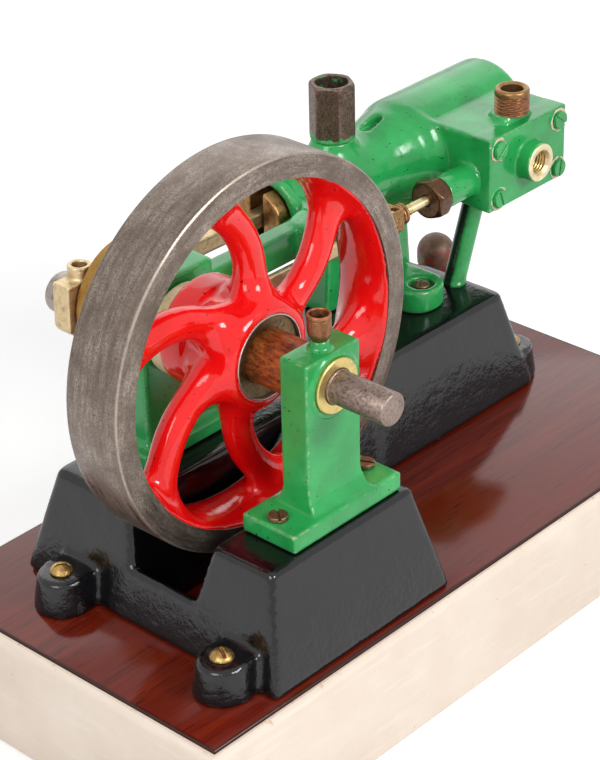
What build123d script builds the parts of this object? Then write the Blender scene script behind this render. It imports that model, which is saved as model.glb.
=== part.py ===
"""Model horizontal steam engine with an overhung crank, on a painted wooden plinth.

Millimetres, +Z up, +X from the crank towards the cylinder, +Y from the outboard
bearing towards the crank. The origin is the centre of the plinth's underside.
"""
from build123d import *
from math import asin, cos, degrees, radians, sin, sqrt
import os

# Plinth and mahogany board
board_length = 234.5
board_width = 115.0
board_thickness = 3.0
board_proud = 0.8
plinth_height = 34.0
plinth_margin = 2.5
plinth_batter = 3.0
plinth_top_bevel = 1.5

# Place of the shaft axis and of the flywheel's near face on the plinth
shaft_x = -51.4
wheel_near = -18.2

# Cast bed: heights above the board, side draft, edges of its top face
bed_height = 33.8
bed_draft = 0.24
bed_crank_end = -32.4
bed_past_leg = 5.0
bed_near_edge = 24.2
bed_far_edge = 53.5
bed_pad_start = 74.0
bed_pad_far_edge = 69.0
block_end = 24.7
block_near_edge = -29.8
block_far_edge = -8.3
pit_wall_height = 15.6
pit_wall_thickness = 6.0
lug_height = 11.0
lug_radius = 8.0
lug_reach = 13.0
lug_rear_reach = 9.4
lug_crank_far_y = 39.6
lug_crank_near_y = -22.9
lug_rear_near_y = 25.8
lug_rear_far_y = 54.0
wood_screw_head = 7.0
wood_screw_rise = 2.6

# Crankshaft and what is stacked along it, from the near end to the crank
shaft_rise = 41.2
shaft_diameter = 10.0
shaft_near_end = -44.5
shaft_end_diameter = 9.5
running_clearance = 0.05
side_gap = 0.7
wheel_diameter = 114.3
wheel_width = 19.0
wheel_rim = 7.0
wheel_edge = 0.7
hub_front_diameter = 31.0
hub_front_proud = 0.8
hub_recess_diameter = 23.0
hub_recess_depth = 2.0
hub_rear_diameter = 33.0
hub_rear_reach = 7.4
spoke_count = 6
spoke_width = 10.0
spoke_depth = 8.5
spoke_rest_angle = 29.0
spoke_sweep_in = 20.0
spoke_sweep_out = 15.0
spoke_mid_radius = 30.0
spoke_root = 4.0
collar_diameter = 16.0
eccentric_width = 6.2
bearing_width = 13.7
bush_flange = 1.2
disc_thickness = 7.0
disc_diameter = 37.0
disc_gap = 0.4
big_end_thickness = 6.6

# Outboard bearing
pedestal_width = 21.3
pedestal_depth = 9.8
pedestal_far_face = -13.9
pedestal_top = 9.5
pedestal_foot_length = 43.8
pedestal_foot_depth = 19.3
pedestal_foot_thickness = 5.6
pedestal_flare = 6.5
pedestal_flare_reach = 3.6
bush_diameter = 12.5
bush_collar_diameter = 16.0
bush_collar = 1.5
pedestal_screw_pitch = 35.5
machine_screw_head = 5.6
machine_screw_rise = 1.6
oil_cup_diameter = 6.6
oil_cup_height = 10.3
oil_cup_neck = 4.4
oil_cup_neck_height = 2.6
oil_cup_bore = 4.8
oil_cup_bore_depth = 6.0

# Crank, connecting rod and crosshead
crank_throw = 12.7
crank_rest_angle = 8.6
rod_length = 82.0
rod_height = 5.6
rod_thickness = 4.4
big_end_length = 15.2
big_end_height = 14.6
oil_boss_diameter = 7.0
oil_boss_height = 4.0
oil_boss_bore = 4.4
crank_pin_diameter = 6.4
pin_head_diameter = 13.0
pin_head_thickness = 5.2
small_end_diameter = 9.6
gudgeon_diameter = 4.8
crosshead_length = 20.0
crosshead_clearance = 0.3
slot_clearance = 0.5
slot_depth_behind_pin = 6.5
piston_rod_diameter = 4.8
piston_rod_in_cylinder = 7.4

# Frame casting: main bearing, girder, trunk guide, leg and foot
main_bearing_half_width = 14.5
main_bearing_top = 13.5
main_foot_half_length = 18.0
main_foot_depth = 18.5
main_foot_thickness = 5.0
main_bush_diameter = 14.0
main_bush_flange_diameter = 18.0
girder_near = 37.0
girder_width = 6.5
girder_top = 7.0
girder_height = 10.0
trunk_mouth = 64.0
trunk_end_wall = 7.0
trunk_diameter = 24.0
trunk_bore = 19.8
trunk_rim_diameter = 26.0
trunk_rim_length = 3.0
frame_end = 126.0
flare_length = 16.0
leg_start = 84.0
leg_thickness = 10.0
leg_taper = 2.0
toe_before_leg_end = 16.7
toe_half_length = 12.2
toe_corner = 8.0
toe_near = 31.3
toe_screw_y = 37.5
foot_thickness = 6.4
oil_slot_before_end = 12.5
oil_slot_length = 9.0
oil_slot_width = 4.6
hex_cup_x = 94.0
hex_cup_across_flats = 12.7
hex_cup_height = 18.2
hex_cup_bore = 10.2
hex_cup_bore_depth = 13.0
hex_cup_boss_diameter = 13.0
hex_cup_boss_rise = 3.2

# Cylinder, steam chest and valve gear
cylinder_diameter = 33.7
cylinder_length = 43.0
cylinder_cover_thickness = 4.0
cylinder_rod_bore_end_wall = 6.0
chest_behind_frame = 0.8
chest_length = 38.0
chest_height = 24.4
chest_depth = 23.6
chest_cover_thickness = 3.5
chest_near = 24.5
cover_boss_diameter = 12.2
cover_boss_length = 5.2
cover_boss_bore = 5.2
cover_boss_bore_depth = 7.0
cover_screw_inset = 4.0
cover_screw_head = 4.8
cover_screw_rise = 1.5
inlet_behind_cover = 6.9
inlet_boss_diameter = 13.0
inlet_boss_height = 2.2
inlet_diameter = 11.1
inlet_height = 8.0
inlet_bore = 7.2
valve_behind_cover = 9.0
valve_drop = 3.0
gland_boss_diameter = 10.6
gland_boss_length = 14.0
gland_nut_across_flats = 11.8
gland_nut_length = 6.4
valve_rod_diameter = 3.2
valve_rod_in_chest = 10.0
valve_hole_in_chest = 20.0
knuckle_length = 9.0
knuckle_height = 7.4
knuckle_width = 7.0
knuckle_from_nut = 11.0
knuckle_slot_depth = 5.0
eccentric_throw = 2.4
sheave_diameter = 20.8
strap_wall = 3.2
strap_lug_length = 6.5
strap_lug_height = 8.0
eccentric_rod_height = 4.6
eccentric_rod_thickness = 2.4
strut_diameter = 5.8
strut_foot_past_leg = 1.5
strut_top_past_chest_start = 11.5
strut_behind_chest_near = 14.5
pot_diameter = 12.6
pot_height = 33.8
pot_past_bed = 19.4
pot_y = 65.5

# Levels and places that follow from the sizes above
board_top = plinth_height + board_proud
bed_top = board_top + bed_height
shaft_z = bed_top + shaft_rise
shaft_radius = shaft_diameter / 2
bearing_bore = shaft_diameter + 2 * running_clearance
wheel_far = wheel_width
hub_rear = wheel_far + hub_rear_reach
eccentric_near = hub_rear + side_gap
eccentric_far = eccentric_near + eccentric_width
bearing_near = eccentric_far + side_gap
bearing_far = bearing_near + bearing_width
disc_near = bearing_far + bush_flange + side_gap
disc_far = disc_near + disc_thickness
big_end_near = disc_far + disc_gap
big_end_far = big_end_near + big_end_thickness
cylinder_y = big_end_near + big_end_thickness / 2
eccentric_z = -eccentric_throw
pin_x = -crank_throw * cos(radians(crank_rest_angle))
pin_z = crank_throw * sin(radians(crank_rest_angle))
rod_tilt = asin(pin_z / rod_length)
gudgeon_x = pin_x + rod_length * cos(rod_tilt)
crosshead_radius = trunk_bore / 2 - crosshead_clearance
trunk_radius = trunk_diameter / 2
cylinder_radius = cylinder_diameter / 2
cylinder_end = frame_end + cylinder_length
trunk_bore_end = frame_end - trunk_end_wall
leg_end = frame_end
oil_slot_x = frame_end - oil_slot_before_end
bed_rear_end = leg_end + bed_past_leg
pot_x = bed_rear_end + pot_past_bed
chest_start = frame_end + chest_behind_frame
strut_foot_x = leg_end + strut_foot_past_leg
strut_top_x = chest_start + strut_top_past_chest_start
chest_end = chest_start + chest_length
chest_middle = chest_start + chest_length / 2
chest_body_near = chest_near + chest_cover_thickness
chest_top = chest_height / 2
valve_y = chest_near + valve_behind_cover
nut_end = chest_start - gland_boss_length
nut_start = nut_end - gland_nut_length
knuckle_end = nut_start - knuckle_from_nut
knuckle_start = knuckle_end - knuckle_length


def at(x, y, z):
    """Place from the shaft axis and the flywheel's near face, in the part's frame."""
    return Pos(shaft_x + x, wheel_near + y, shaft_z + z)


def block(x0, x1, y0, y1, z0, z1):
    """Box between two corners given from the shaft."""
    centre = at((x0 + x1) / 2, (y0 + y1) / 2, (z0 + z1) / 2)
    return centre * Box(x1 - x0, y1 - y0, z1 - z0)


def along_y(diameter, y0, y1, x=0, z=0):
    """Round bar along the shaft's direction."""
    bar = Rot(90, 0, 0) * Cylinder(diameter / 2, y1 - y0)
    return at(x, (y0 + y1) / 2, z) * bar


def along_x(diameter, x0, x1, y, z=0):
    """Round bar along the cylinder's direction."""
    bar = Rot(0, 90, 0) * Cylinder(diameter / 2, x1 - x0)
    return at((x0 + x1) / 2, y, z) * bar


def upright(diameter, x, y, z0, z1):
    """Round bar standing on end."""
    return at(x, y, (z0 + z1) / 2) * Cylinder(diameter / 2, z1 - z0)


def plan_prism(points, z0, z1):
    """Solid over a plan outline."""
    outline = make_face(Polyline(points, close=True))
    return at(0, 0, z0) * extrude(outline, z1 - z0)


def drafted(x0, x1, y0, y1, z0, z1, growth):
    """Block whose four sides lean out towards its foot."""
    length = x1 - x0
    width = y1 - y0
    middle = ((x0 + x1) / 2, (y0 + y1) / 2)
    top = at(*middle, z1) * Rectangle(length, width)
    foot = at(*middle, z0) * Rectangle(length + 2 * growth, width + 2 * growth)
    return loft([foot, top])


def screw(head, rise, x, y, z, axis="z"):
    """Screw head seated on a face."""
    if axis == "z":
        return upright(head, x, y, z, z + rise)
    return along_y(head, y - rise, y, x, z)


# Plinth and board
def make_plinth():
    top_length = board_length + 2 * plinth_margin
    top_width = board_width + 2 * plinth_margin
    foot = Rectangle(top_length + 2 * plinth_batter, top_width + 2 * plinth_batter)
    shoulder_z = plinth_height - plinth_top_bevel
    shoulder = Pos(0, 0, shoulder_z) * Rectangle(top_length, top_width)
    crown_length = top_length - 2 * plinth_top_bevel
    crown_width = top_width - 2 * plinth_top_bevel
    crown = Pos(0, 0, plinth_height) * Rectangle(crown_length, crown_width)
    body = loft([foot, shoulder]) + loft([shoulder, crown])
    recess = Box(board_length, board_width, 2 * (board_thickness - board_proud))
    return body - Pos(0, 0, plinth_height) * recess


def make_board():
    middle = board_top - board_thickness / 2
    return Pos(0, 0, middle) * Box(board_length, board_width, board_thickness)


# Bed
bed_foot_z = -shaft_rise - bed_height
bed_top_z = -shaft_rise
bed_growth = bed_height * bed_draft
lug_top_z = bed_foot_z + lug_height
lug_centres = [
    (bed_crank_end - lug_reach, lug_crank_far_y),
    (bed_crank_end - lug_reach, lug_crank_near_y),
    (bed_rear_end + lug_rear_reach, lug_rear_near_y),
    (bed_rear_end + lug_rear_reach, lug_rear_far_y),
]


def make_bed():
    levels = (bed_foot_z, bed_top_z, bed_growth)
    main = drafted(bed_crank_end, bed_rear_end, bed_near_edge, bed_far_edge, *levels)
    pad = drafted(bed_pad_start, bed_rear_end, bed_near_edge, bed_pad_far_edge, *levels)
    outrigger = drafted(bed_crank_end, block_end, block_near_edge, block_far_edge, *levels)
    body = main + pad + outrigger
    wall_top = bed_foot_z + pit_wall_height
    outside = drafted(bed_crank_end, block_end, block_near_edge, bed_far_edge, *levels)
    for outer, inward in ((bed_crank_end - bed_growth, 1), (block_end + bed_growth, -1)):
        inner = outer + inward * pit_wall_thickness
        ends = sorted((outer, inner))
        wall = block(ends[0], ends[1], block_far_edge, bed_near_edge, bed_foot_z, wall_top)
        body += wall & outside
    for x, y in lug_centres:
        body += upright(2 * lug_radius, x, y, bed_foot_z, lug_top_z)
        root = bed_crank_end if x < 0 else bed_rear_end
        ends = sorted((x, root))
        body += block(ends[0], ends[1], y - lug_radius, y + lug_radius, bed_foot_z, lug_top_z)
    return body


def make_wood_screws():
    return [screw(wood_screw_head, wood_screw_rise, x, y, lug_top_z) for x, y in lug_centres]


# Outboard bearing
pedestal_near_face = pedestal_far_face - pedestal_depth
pedestal_y = pedestal_far_face - pedestal_depth / 2
foot_top_z = bed_top_z + pedestal_foot_thickness


def make_pedestal():
    half = pedestal_width / 2
    foot_half = pedestal_foot_length / 2
    foot_near = pedestal_y - pedestal_foot_depth / 2
    foot_far = pedestal_y + pedestal_foot_depth / 2
    body = block(-half, half, pedestal_near_face, pedestal_far_face, foot_top_z, pedestal_top)
    body += block(-foot_half, foot_half, foot_near, foot_far, bed_top_z, foot_top_z)
    flare_depth = pedestal_depth + 2 * pedestal_flare_reach
    flare_foot = at(0, pedestal_y, foot_top_z) * Rectangle(pedestal_width, flare_depth)
    flare_top = at(0, pedestal_y, foot_top_z + pedestal_flare) * Rectangle(pedestal_width, pedestal_depth)
    body += loft([flare_foot, flare_top])
    return body - along_y(bush_diameter, pedestal_near_face, pedestal_far_face)


def make_outboard_bush():
    body = along_y(bush_diameter, pedestal_near_face, pedestal_far_face)
    body += along_y(bush_collar_diameter, pedestal_near_face - bush_collar, pedestal_near_face)
    return body - along_y(bearing_bore, pedestal_near_face - bush_collar, pedestal_far_face)


def make_pedestal_screws():
    half = pedestal_screw_pitch / 2
    return [screw(machine_screw_head, machine_screw_rise, x, pedestal_y, foot_top_z) for x in (-half, half)]


def make_oil_cup():
    neck_top = pedestal_top + oil_cup_neck_height
    cup_top = pedestal_top + oil_cup_height
    body = upright(oil_cup_neck, 0, pedestal_y, pedestal_top, neck_top)
    body += upright(oil_cup_diameter, 0, pedestal_y, neck_top, cup_top)
    return body - upright(oil_cup_bore, 0, pedestal_y, cup_top - oil_cup_bore_depth, cup_top)


# Crankshaft
hub_recess_floor = hub_recess_depth - hub_front_proud


def make_flywheel():
    radius = wheel_diameter / 2
    rim = along_y(wheel_diameter, 0, wheel_far) - along_y(wheel_diameter - 2 * wheel_rim, 0, wheel_far)
    rim = chamfer(rim.edges().filter_by(GeomType.CIRCLE).group_by(SortBy.RADIUS)[-1], wheel_edge)
    hub = along_y(hub_front_diameter, -hub_front_proud, wheel_far)
    hub += along_y(hub_rear_diameter, wheel_far / 2, hub_rear)
    body = rim + hub
    hub_end = hub_front_diameter / 2 - spoke_root
    rim_end = radius - wheel_rim / 2
    for number in range(spoke_count):
        middle = spoke_rest_angle + number * 360 / spoke_count
        body += make_spoke(middle, hub_end, rim_end)
    body -= along_y(hub_recess_diameter, -hub_front_proud, hub_recess_floor)
    return body - along_y(shaft_diameter, hub_recess_floor, hub_rear)


def make_spoke(angle, hub_end, rim_end):
    """Curved oval spoke from inside the hub to inside the rim."""
    stations = (
        (hub_end, angle - spoke_sweep_in),
        (spoke_mid_radius, angle),
        (rim_end, angle + spoke_sweep_out),
    )
    points = [
        Vector(shaft_x + r * cos(radians(a)), wheel_near + wheel_far / 2, shaft_z + r * sin(radians(a)))
        for r, a in stations
    ]
    path = ThreePointArc(*points)
    start = Plane(origin=path @ 0, x_dir=(0, 1, 0), z_dir=path % 0)
    section = start * Ellipse(spoke_depth / 2, spoke_width / 2)
    return sweep(section, path)


def make_shaft():
    """Shaft with its bare outer end turned down a little for a pulley."""
    end_shoulder = pedestal_near_face - bush_collar - side_gap
    body = along_y(shaft_diameter, end_shoulder, disc_near)
    return body + along_y(shaft_end_diameter, shaft_near_end, end_shoulder)


def make_collar():
    reach = pedestal_far_face + side_gap
    body = along_y(collar_diameter, reach, hub_recess_floor)
    return body - along_y(shaft_diameter, reach, hub_recess_floor)


def make_crank_disc():
    return along_y(disc_diameter, disc_near, disc_far)


# Connecting rod, in its own frame along X from the crank pin, then tilted into place
def tilt_rod(shape):
    """Swings a shape about the gudgeon pin to the rod's rest angle."""
    centre = Pos(shaft_x + gudgeon_x, wheel_near + cylinder_y, shaft_z)
    turn = Rot(0, degrees(rod_tilt), 0)
    return centre * turn * Pos(-rod_length, 0, 0) * shape


def make_big_end():
    body = Box(big_end_length, big_end_thickness, big_end_height)
    boss_top = big_end_height / 2 + oil_boss_height
    boss = Pos(0, 0, boss_top / 2) * Cylinder(oil_boss_diameter / 2, boss_top)
    body += boss & Box(big_end_length, big_end_thickness, 2 * boss_top)
    well = crank_pin_diameter / 2 + oil_boss_height
    body -= Pos(0, 0, (boss_top + well) / 2) * Cylinder(oil_boss_bore / 2, boss_top - well)
    body -= Rot(90, 0, 0) * Cylinder(crank_pin_diameter / 2, big_end_thickness)
    return tilt_rod(body)


def make_crank_pin():
    head_y = big_end_thickness / 2 + pin_head_thickness / 2
    body = Rot(90, 0, 0) * Cylinder(crank_pin_diameter / 2, big_end_thickness)
    body += Pos(0, head_y, 0) * (Rot(90, 0, 0) * Cylinder(pin_head_diameter / 2, pin_head_thickness))
    return tilt_rod(body)


def make_connecting_rod():
    start = big_end_length / 2
    body = Pos((start + rod_length) / 2, 0, 0) * Box(rod_length - start, rod_thickness, rod_height)
    body += Pos(rod_length, 0, 0) * (Rot(90, 0, 0) * Cylinder(small_end_diameter / 2, rod_thickness))
    pin_hole = gudgeon_diameter / 2 + running_clearance
    body -= Pos(rod_length, 0, 0) * (Rot(90, 0, 0) * Cylinder(pin_hole, rod_thickness))
    return tilt_rod(body)


# Crosshead and piston rod
crosshead_start = gudgeon_x - crosshead_length / 2
crosshead_end = gudgeon_x + crosshead_length / 2


def make_crosshead():
    body = along_x(2 * crosshead_radius, crosshead_start, crosshead_end, cylinder_y)
    half_slot = rod_thickness / 2 + slot_clearance
    body -= block(
        crosshead_start, gudgeon_x + slot_depth_behind_pin,
        cylinder_y - half_slot, cylinder_y + half_slot,
        -crosshead_radius, crosshead_radius,
    )
    return body - make_gudgeon_pin()


def make_gudgeon_pin():
    half = sqrt(crosshead_radius ** 2 - (gudgeon_diameter / 2) ** 2)
    return along_y(gudgeon_diameter, cylinder_y - half, cylinder_y + half, gudgeon_x)


def make_piston_rod():
    return along_x(piston_rod_diameter, crosshead_end, frame_end + piston_rod_in_cylinder, cylinder_y)


# Frame casting
frame_foot_top = bed_top_z + foot_thickness
toe_x = leg_end - toe_before_leg_end


def make_frame():
    half = main_bearing_half_width
    middle = (bearing_near + bearing_far) / 2
    body = block(-half, half, bearing_near, bearing_far, bed_top_z, main_bearing_top)
    foot_half = main_foot_depth / 2
    body += block(
        -main_foot_half_length, main_foot_half_length, middle - foot_half, middle + foot_half,
        bed_top_z, bed_top_z + main_foot_thickness,
    )
    trunk_near = cylinder_y - trunk_radius
    girder_far = girder_near + girder_width
    body += plan_prism(
        [
            (0, girder_near), (0, girder_far), (trunk_mouth - girder_width, girder_far),
            (trunk_mouth, trunk_near + girder_width / 4), (hex_cup_x, cylinder_y), (hex_cup_x, trunk_near),
            (trunk_mouth + girder_width, girder_near + girder_width / 2), (trunk_mouth, girder_near),
        ],
        girder_top - girder_height, girder_top,
    )
    body += along_x(trunk_diameter, trunk_mouth, frame_end, cylinder_y)
    body += along_x(trunk_rim_diameter, trunk_mouth, trunk_mouth + trunk_rim_length, cylinder_y)
    flare = Rot(0, 90, 0) * Cone(trunk_radius, cylinder_radius, flare_length)
    body += at(frame_end - flare_length / 2, cylinder_y, 0) * flare
    body += make_leg()
    boss_top = trunk_radius + hex_cup_boss_rise
    body += upright(hex_cup_boss_diameter, hex_cup_x, cylinder_y, 0, boss_top)
    body -= along_x(trunk_bore, trunk_mouth, trunk_bore_end, cylinder_y)
    body -= along_x(piston_rod_diameter + 2 * running_clearance, trunk_bore_end, frame_end, cylinder_y)
    slot = SlotOverall(oil_slot_length, oil_slot_width)
    body -= at(oil_slot_x, cylinder_y, 0) * extrude(slot, cylinder_radius + trunk_radius)
    return body - along_y(main_bush_diameter, bearing_near, bearing_far)


def make_leg():
    """Broad leg under the trunk, its sole and the toe that is screwed down."""
    middle = (leg_start + leg_end) / 2
    length = leg_end - leg_start
    top = at(middle, cylinder_y, 0) * Rectangle(length - 2 * leg_taper, leg_thickness)
    foot = at(middle, cylinder_y, bed_top_z) * Rectangle(length, leg_thickness)
    body = loft([foot, top])
    toe = block(
        toe_x - toe_half_length, toe_x + toe_half_length, toe_near, cylinder_y, bed_top_z, frame_foot_top
    )
    toe = fillet(toe.edges().filter_by(Axis.Z).group_by(Axis.Y)[0], toe_corner)
    return body + toe


def make_main_bush():
    body = along_y(main_bush_diameter, bearing_near, bearing_far)
    body += along_y(main_bush_flange_diameter, bearing_far, bearing_far + bush_flange)
    return body - along_y(bearing_bore, bearing_near, bearing_far + bush_flange)


def make_frame_screws():
    return [screw(machine_screw_head, machine_screw_rise, toe_x, toe_screw_y, frame_foot_top)]


def make_hex_cup():
    base = trunk_radius + hex_cup_boss_rise
    section = RegularPolygon(hex_cup_across_flats / 2, 6, major_radius=False)
    body = at(hex_cup_x, cylinder_y, base) * extrude(section, hex_cup_height)
    top = base + hex_cup_height
    return body - upright(hex_cup_bore, hex_cup_x, cylinder_y, top - hex_cup_bore_depth, top)


# Cylinder and steam chest
def make_cylinder():
    body = along_x(cylinder_diameter, frame_end, cylinder_end, cylinder_y)
    bore = piston_rod_diameter + 2 * running_clearance
    return body - along_x(bore, frame_end, cylinder_end - cylinder_rod_bore_end_wall, cylinder_y)


def make_cylinder_cover():
    return along_x(cylinder_diameter, cylinder_end, cylinder_end + cylinder_cover_thickness, cylinder_y)


def make_chest():
    body = block(chest_start, chest_end, chest_body_near, cylinder_y, -chest_top, chest_top)
    body += along_x(gland_boss_diameter, nut_end, chest_start, valve_y, -valve_drop)
    inlet_y = chest_near + inlet_behind_cover
    body += upright(inlet_boss_diameter, chest_middle, inlet_y, 0, chest_top + inlet_boss_height) & block(
        chest_start, chest_end, chest_body_near, cylinder_y, 0, chest_top + inlet_boss_height
    )
    body -= along_x(cylinder_diameter, frame_end, cylinder_end + cylinder_cover_thickness, cylinder_y)
    rod_hole = valve_rod_diameter + 2 * running_clearance
    return body - along_x(rod_hole, nut_end, chest_start + valve_hole_in_chest, valve_y, -valve_drop)


def make_chest_cover():
    body = block(chest_start, chest_end, chest_near, chest_body_near, -chest_top, chest_top)
    boss_face = chest_near - cover_boss_length
    body += along_y(cover_boss_diameter, boss_face, chest_near, chest_middle)
    return body - along_y(cover_boss_bore, boss_face, boss_face + cover_boss_bore_depth, chest_middle)


def make_cover_screws():
    across = chest_length / 2 - cover_screw_inset
    height = chest_top - cover_screw_inset
    places = [(chest_middle + sx * across, sz * height) for sx in (-1, 1) for sz in (-1, 1)]
    return [screw(cover_screw_head, cover_screw_rise, x, chest_near, z, axis="y") for x, z in places]


def make_inlet():
    inlet_y = chest_near + inlet_behind_cover
    base = chest_top + inlet_boss_height
    body = upright(inlet_diameter, chest_middle, inlet_y, base, base + inlet_height)
    return body - upright(inlet_bore, chest_middle, inlet_y, base, base + inlet_height)


def make_gland_nut():
    section = RegularPolygon(gland_nut_across_flats / 2, 6, major_radius=False)
    body = at(nut_start, valve_y, -valve_drop) * (Rot(0, 90, 0) * extrude(section, gland_nut_length))
    rod_hole = valve_rod_diameter + 2 * running_clearance
    return body - along_x(rod_hole, nut_start, nut_end, valve_y, -valve_drop)


def make_strut():
    strut_y = chest_near + strut_behind_chest_near
    rise = shaft_rise - chest_top
    lean = strut_top_x - strut_foot_x
    foot = at(strut_foot_x, strut_y, bed_top_z) * Circle(strut_diameter / 2)
    return extrude(foot, sqrt(rise ** 2 + lean ** 2), dir=(lean, 0, rise))


def make_pot():
    shoulder = bed_foot_z + pot_height - pot_diameter / 2
    body = upright(pot_diameter, pot_x, pot_y, bed_foot_z, shoulder)
    return body + at(pot_x, pot_y, shoulder) * Sphere(pot_diameter / 2)


# Valve gear
def make_valve_rod():
    return along_x(valve_rod_diameter, knuckle_end, chest_start + valve_rod_in_chest, valve_y, -valve_drop)


rod_strip_y = valve_y - eccentric_rod_thickness / 2


def make_knuckle():
    half_width = knuckle_width / 2
    half_height = knuckle_height / 2
    body = block(
        knuckle_start, knuckle_end, valve_y - half_width, valve_y + half_width,
        -valve_drop - half_height, -valve_drop + half_height,
    )
    slot_end = knuckle_start + knuckle_slot_depth
    half_strip = eccentric_rod_thickness / 2
    return body - block(
        knuckle_start, slot_end, rod_strip_y - half_strip, rod_strip_y + half_strip,
        -valve_drop - half_height, -valve_drop + half_height,
    )


def make_eccentric_rod():
    start = sheave_diameter / 2 + strap_wall + strap_lug_length / 2
    slot_end = knuckle_start + knuckle_slot_depth
    half = eccentric_rod_height / 2
    outline = [
        (start, eccentric_z - half), (slot_end, -valve_drop - half),
        (slot_end, -valve_drop + half), (start, eccentric_z + half),
    ]
    profile = make_face(Polyline([(shaft_x + x, 0, shaft_z + z) for x, z in outline], close=True))
    near = wheel_near + rod_strip_y - eccentric_rod_thickness / 2
    return Pos(0, near, 0) * extrude(profile, eccentric_rod_thickness, dir=(0, 1, 0))


def make_strap():
    outer = sheave_diameter + 2 * strap_wall
    body = along_y(outer, eccentric_near, eccentric_far, 0, eccentric_z)
    lug_end = outer / 2 + strap_lug_length
    half = strap_lug_height / 2
    body += block(0, lug_end, eccentric_near, eccentric_far, eccentric_z - half, eccentric_z + half)
    body -= along_y(sheave_diameter, eccentric_near, eccentric_far, 0, eccentric_z)
    return body - make_eccentric_rod()


def make_sheave():
    body = along_y(sheave_diameter, eccentric_near, eccentric_far, 0, eccentric_z)
    slot_width = shaft_diameter + 2 * side_gap
    slot = SlotOverall(slot_width + 2 * eccentric_throw, slot_width)
    cut = at(0, eccentric_near, 0) * (Rot(-90, 0, 0) * extrude(slot, eccentric_width))
    return body - cut


def export(name, shape):
    """Writes one node, whose solids are one piece or a set of like pieces."""
    pieces = shape if isinstance(shape, list) else [shape]
    solids = [piece.solid() for piece in pieces]
    node = solids[0] if len(solids) == 1 else Compound(solids)
    export_step(node, "parts/" + name + ".step")


nodes = {
    "plinth": make_plinth,
    "mahogany_board": make_board,
    "bed_casting": make_bed,
    "bed_wood_screws": make_wood_screws,
    "outboard_pedestal": make_pedestal,
    "outboard_bush": make_outboard_bush,
    "pedestal_screws": make_pedestal_screws,
    "pedestal_oil_cup": make_oil_cup,
    "frame_casting": make_frame,
    "main_bush": make_main_bush,
    "frame_screw": make_frame_screws,
    "hex_oil_cup": make_hex_cup,
    "cylinder": make_cylinder,
    "cylinder_cover": make_cylinder_cover,
    "steam_chest": make_chest,
    "chest_cover": make_chest_cover,
    "cover_screws": make_cover_screws,
    "steam_inlet": make_inlet,
    "gland_nut": make_gland_nut,
    "chest_strut": make_strut,
    "drain_pot": make_pot,
    "flywheel": make_flywheel,
    "crankshaft": make_shaft,
    "shaft_collar": make_collar,
    "crank_disc": make_crank_disc,
    "connecting_rod": make_connecting_rod,
    "big_end": make_big_end,
    "crank_pin": make_crank_pin,
    "crosshead": make_crosshead,
    "gudgeon_pin": make_gudgeon_pin,
    "piston_rod": make_piston_rod,
    "valve_rod": make_valve_rod,
    "valve_knuckle": make_knuckle,
    "eccentric_rod": make_eccentric_rod,
    "eccentric_strap": make_strap,
    "eccentric_sheave": make_sheave,
}

os.makedirs("parts", exist_ok=True)
for name, make in nodes.items():
    export(name, make())
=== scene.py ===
"""Looks of the model horizontal steam engine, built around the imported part."""
from itertools import product
import math

import bmesh
import bpy
import numpy as np
from mathutils import Matrix, Vector


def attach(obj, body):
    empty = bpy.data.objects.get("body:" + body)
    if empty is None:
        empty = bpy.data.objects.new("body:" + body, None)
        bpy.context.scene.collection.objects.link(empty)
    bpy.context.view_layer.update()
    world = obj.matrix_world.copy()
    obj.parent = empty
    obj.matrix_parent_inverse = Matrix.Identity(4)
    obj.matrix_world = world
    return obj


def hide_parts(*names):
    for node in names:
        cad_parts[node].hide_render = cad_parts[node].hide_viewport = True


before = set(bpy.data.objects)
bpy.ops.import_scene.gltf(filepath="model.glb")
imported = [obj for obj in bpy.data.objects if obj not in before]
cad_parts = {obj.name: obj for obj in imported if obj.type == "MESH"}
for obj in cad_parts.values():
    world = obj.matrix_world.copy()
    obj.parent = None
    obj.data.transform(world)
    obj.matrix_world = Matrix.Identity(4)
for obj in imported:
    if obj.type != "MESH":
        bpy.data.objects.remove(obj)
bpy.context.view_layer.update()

# Sizes in millimetres, from the shaft axis and the flywheel's near face
MM = 0.001
SHAFT = np.array((-51.4, -18.2, 109.8))
BOARD_X, BOARD_Y = 117.25, 57.5
BED_FOOT, BED_TOP = -75.0, -41.2
BED_START, BED_END = -32.4, 131.0
CYL_Y = 60.3
CUP_X = 94.0
HEX_FOOT, HEX_TOP = 15.2, 33.4
TOE_SCREW = (109.3, 37.5)
GUDGEON_X = 69.421
ROD_TILT = 0.023162
ROD_LENGTH = 82.0
VALVE_AT = VALVE_Y, VALVE_Z = 33.5, -3.0
NUT_START, NUT_END = 106.4, 112.8
ECC_Z = -2.4
TRUNK_MOUTH, BARREL_END = 64.0, 169.0
BARREL_R = 16.85
CHEST_X = 145.8
CHEST_HALF = 12.2
CHEST_START, CHEST_END = 126.8, 164.8
STRUT_FOOT, STRUT_HEAD = (126.5, 39.0, -44.0), (138.8, 39.0, -11.0)
RIM_R, RIM_WIDTH = 57.15, 19.0
SHAFT_R = 5.0
ROOT, CRANK, ROD, SLIDE, VALVE = (
    "engine_frame", "crankshaft_body", "connecting_rod_body", "crosshead_body", "valve_gear_body",
)


# Distance fields
def join(a, b, k=0.0):
    """Union of two fields, with a fillet of about k."""
    if np.ndim(k) == 0 and k == 0:
        return np.minimum(a, b)
    h = np.maximum(k - np.abs(a - b), 0) / k
    return np.minimum(a, b) - h * h * k / 4


def meet(a, b, k=0.0):
    """Overlap of two fields."""
    return -join(-a, -b, k)


def cut(a, b, k=0.0):
    """First field without the second."""
    return meet(a, -b, k)


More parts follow.
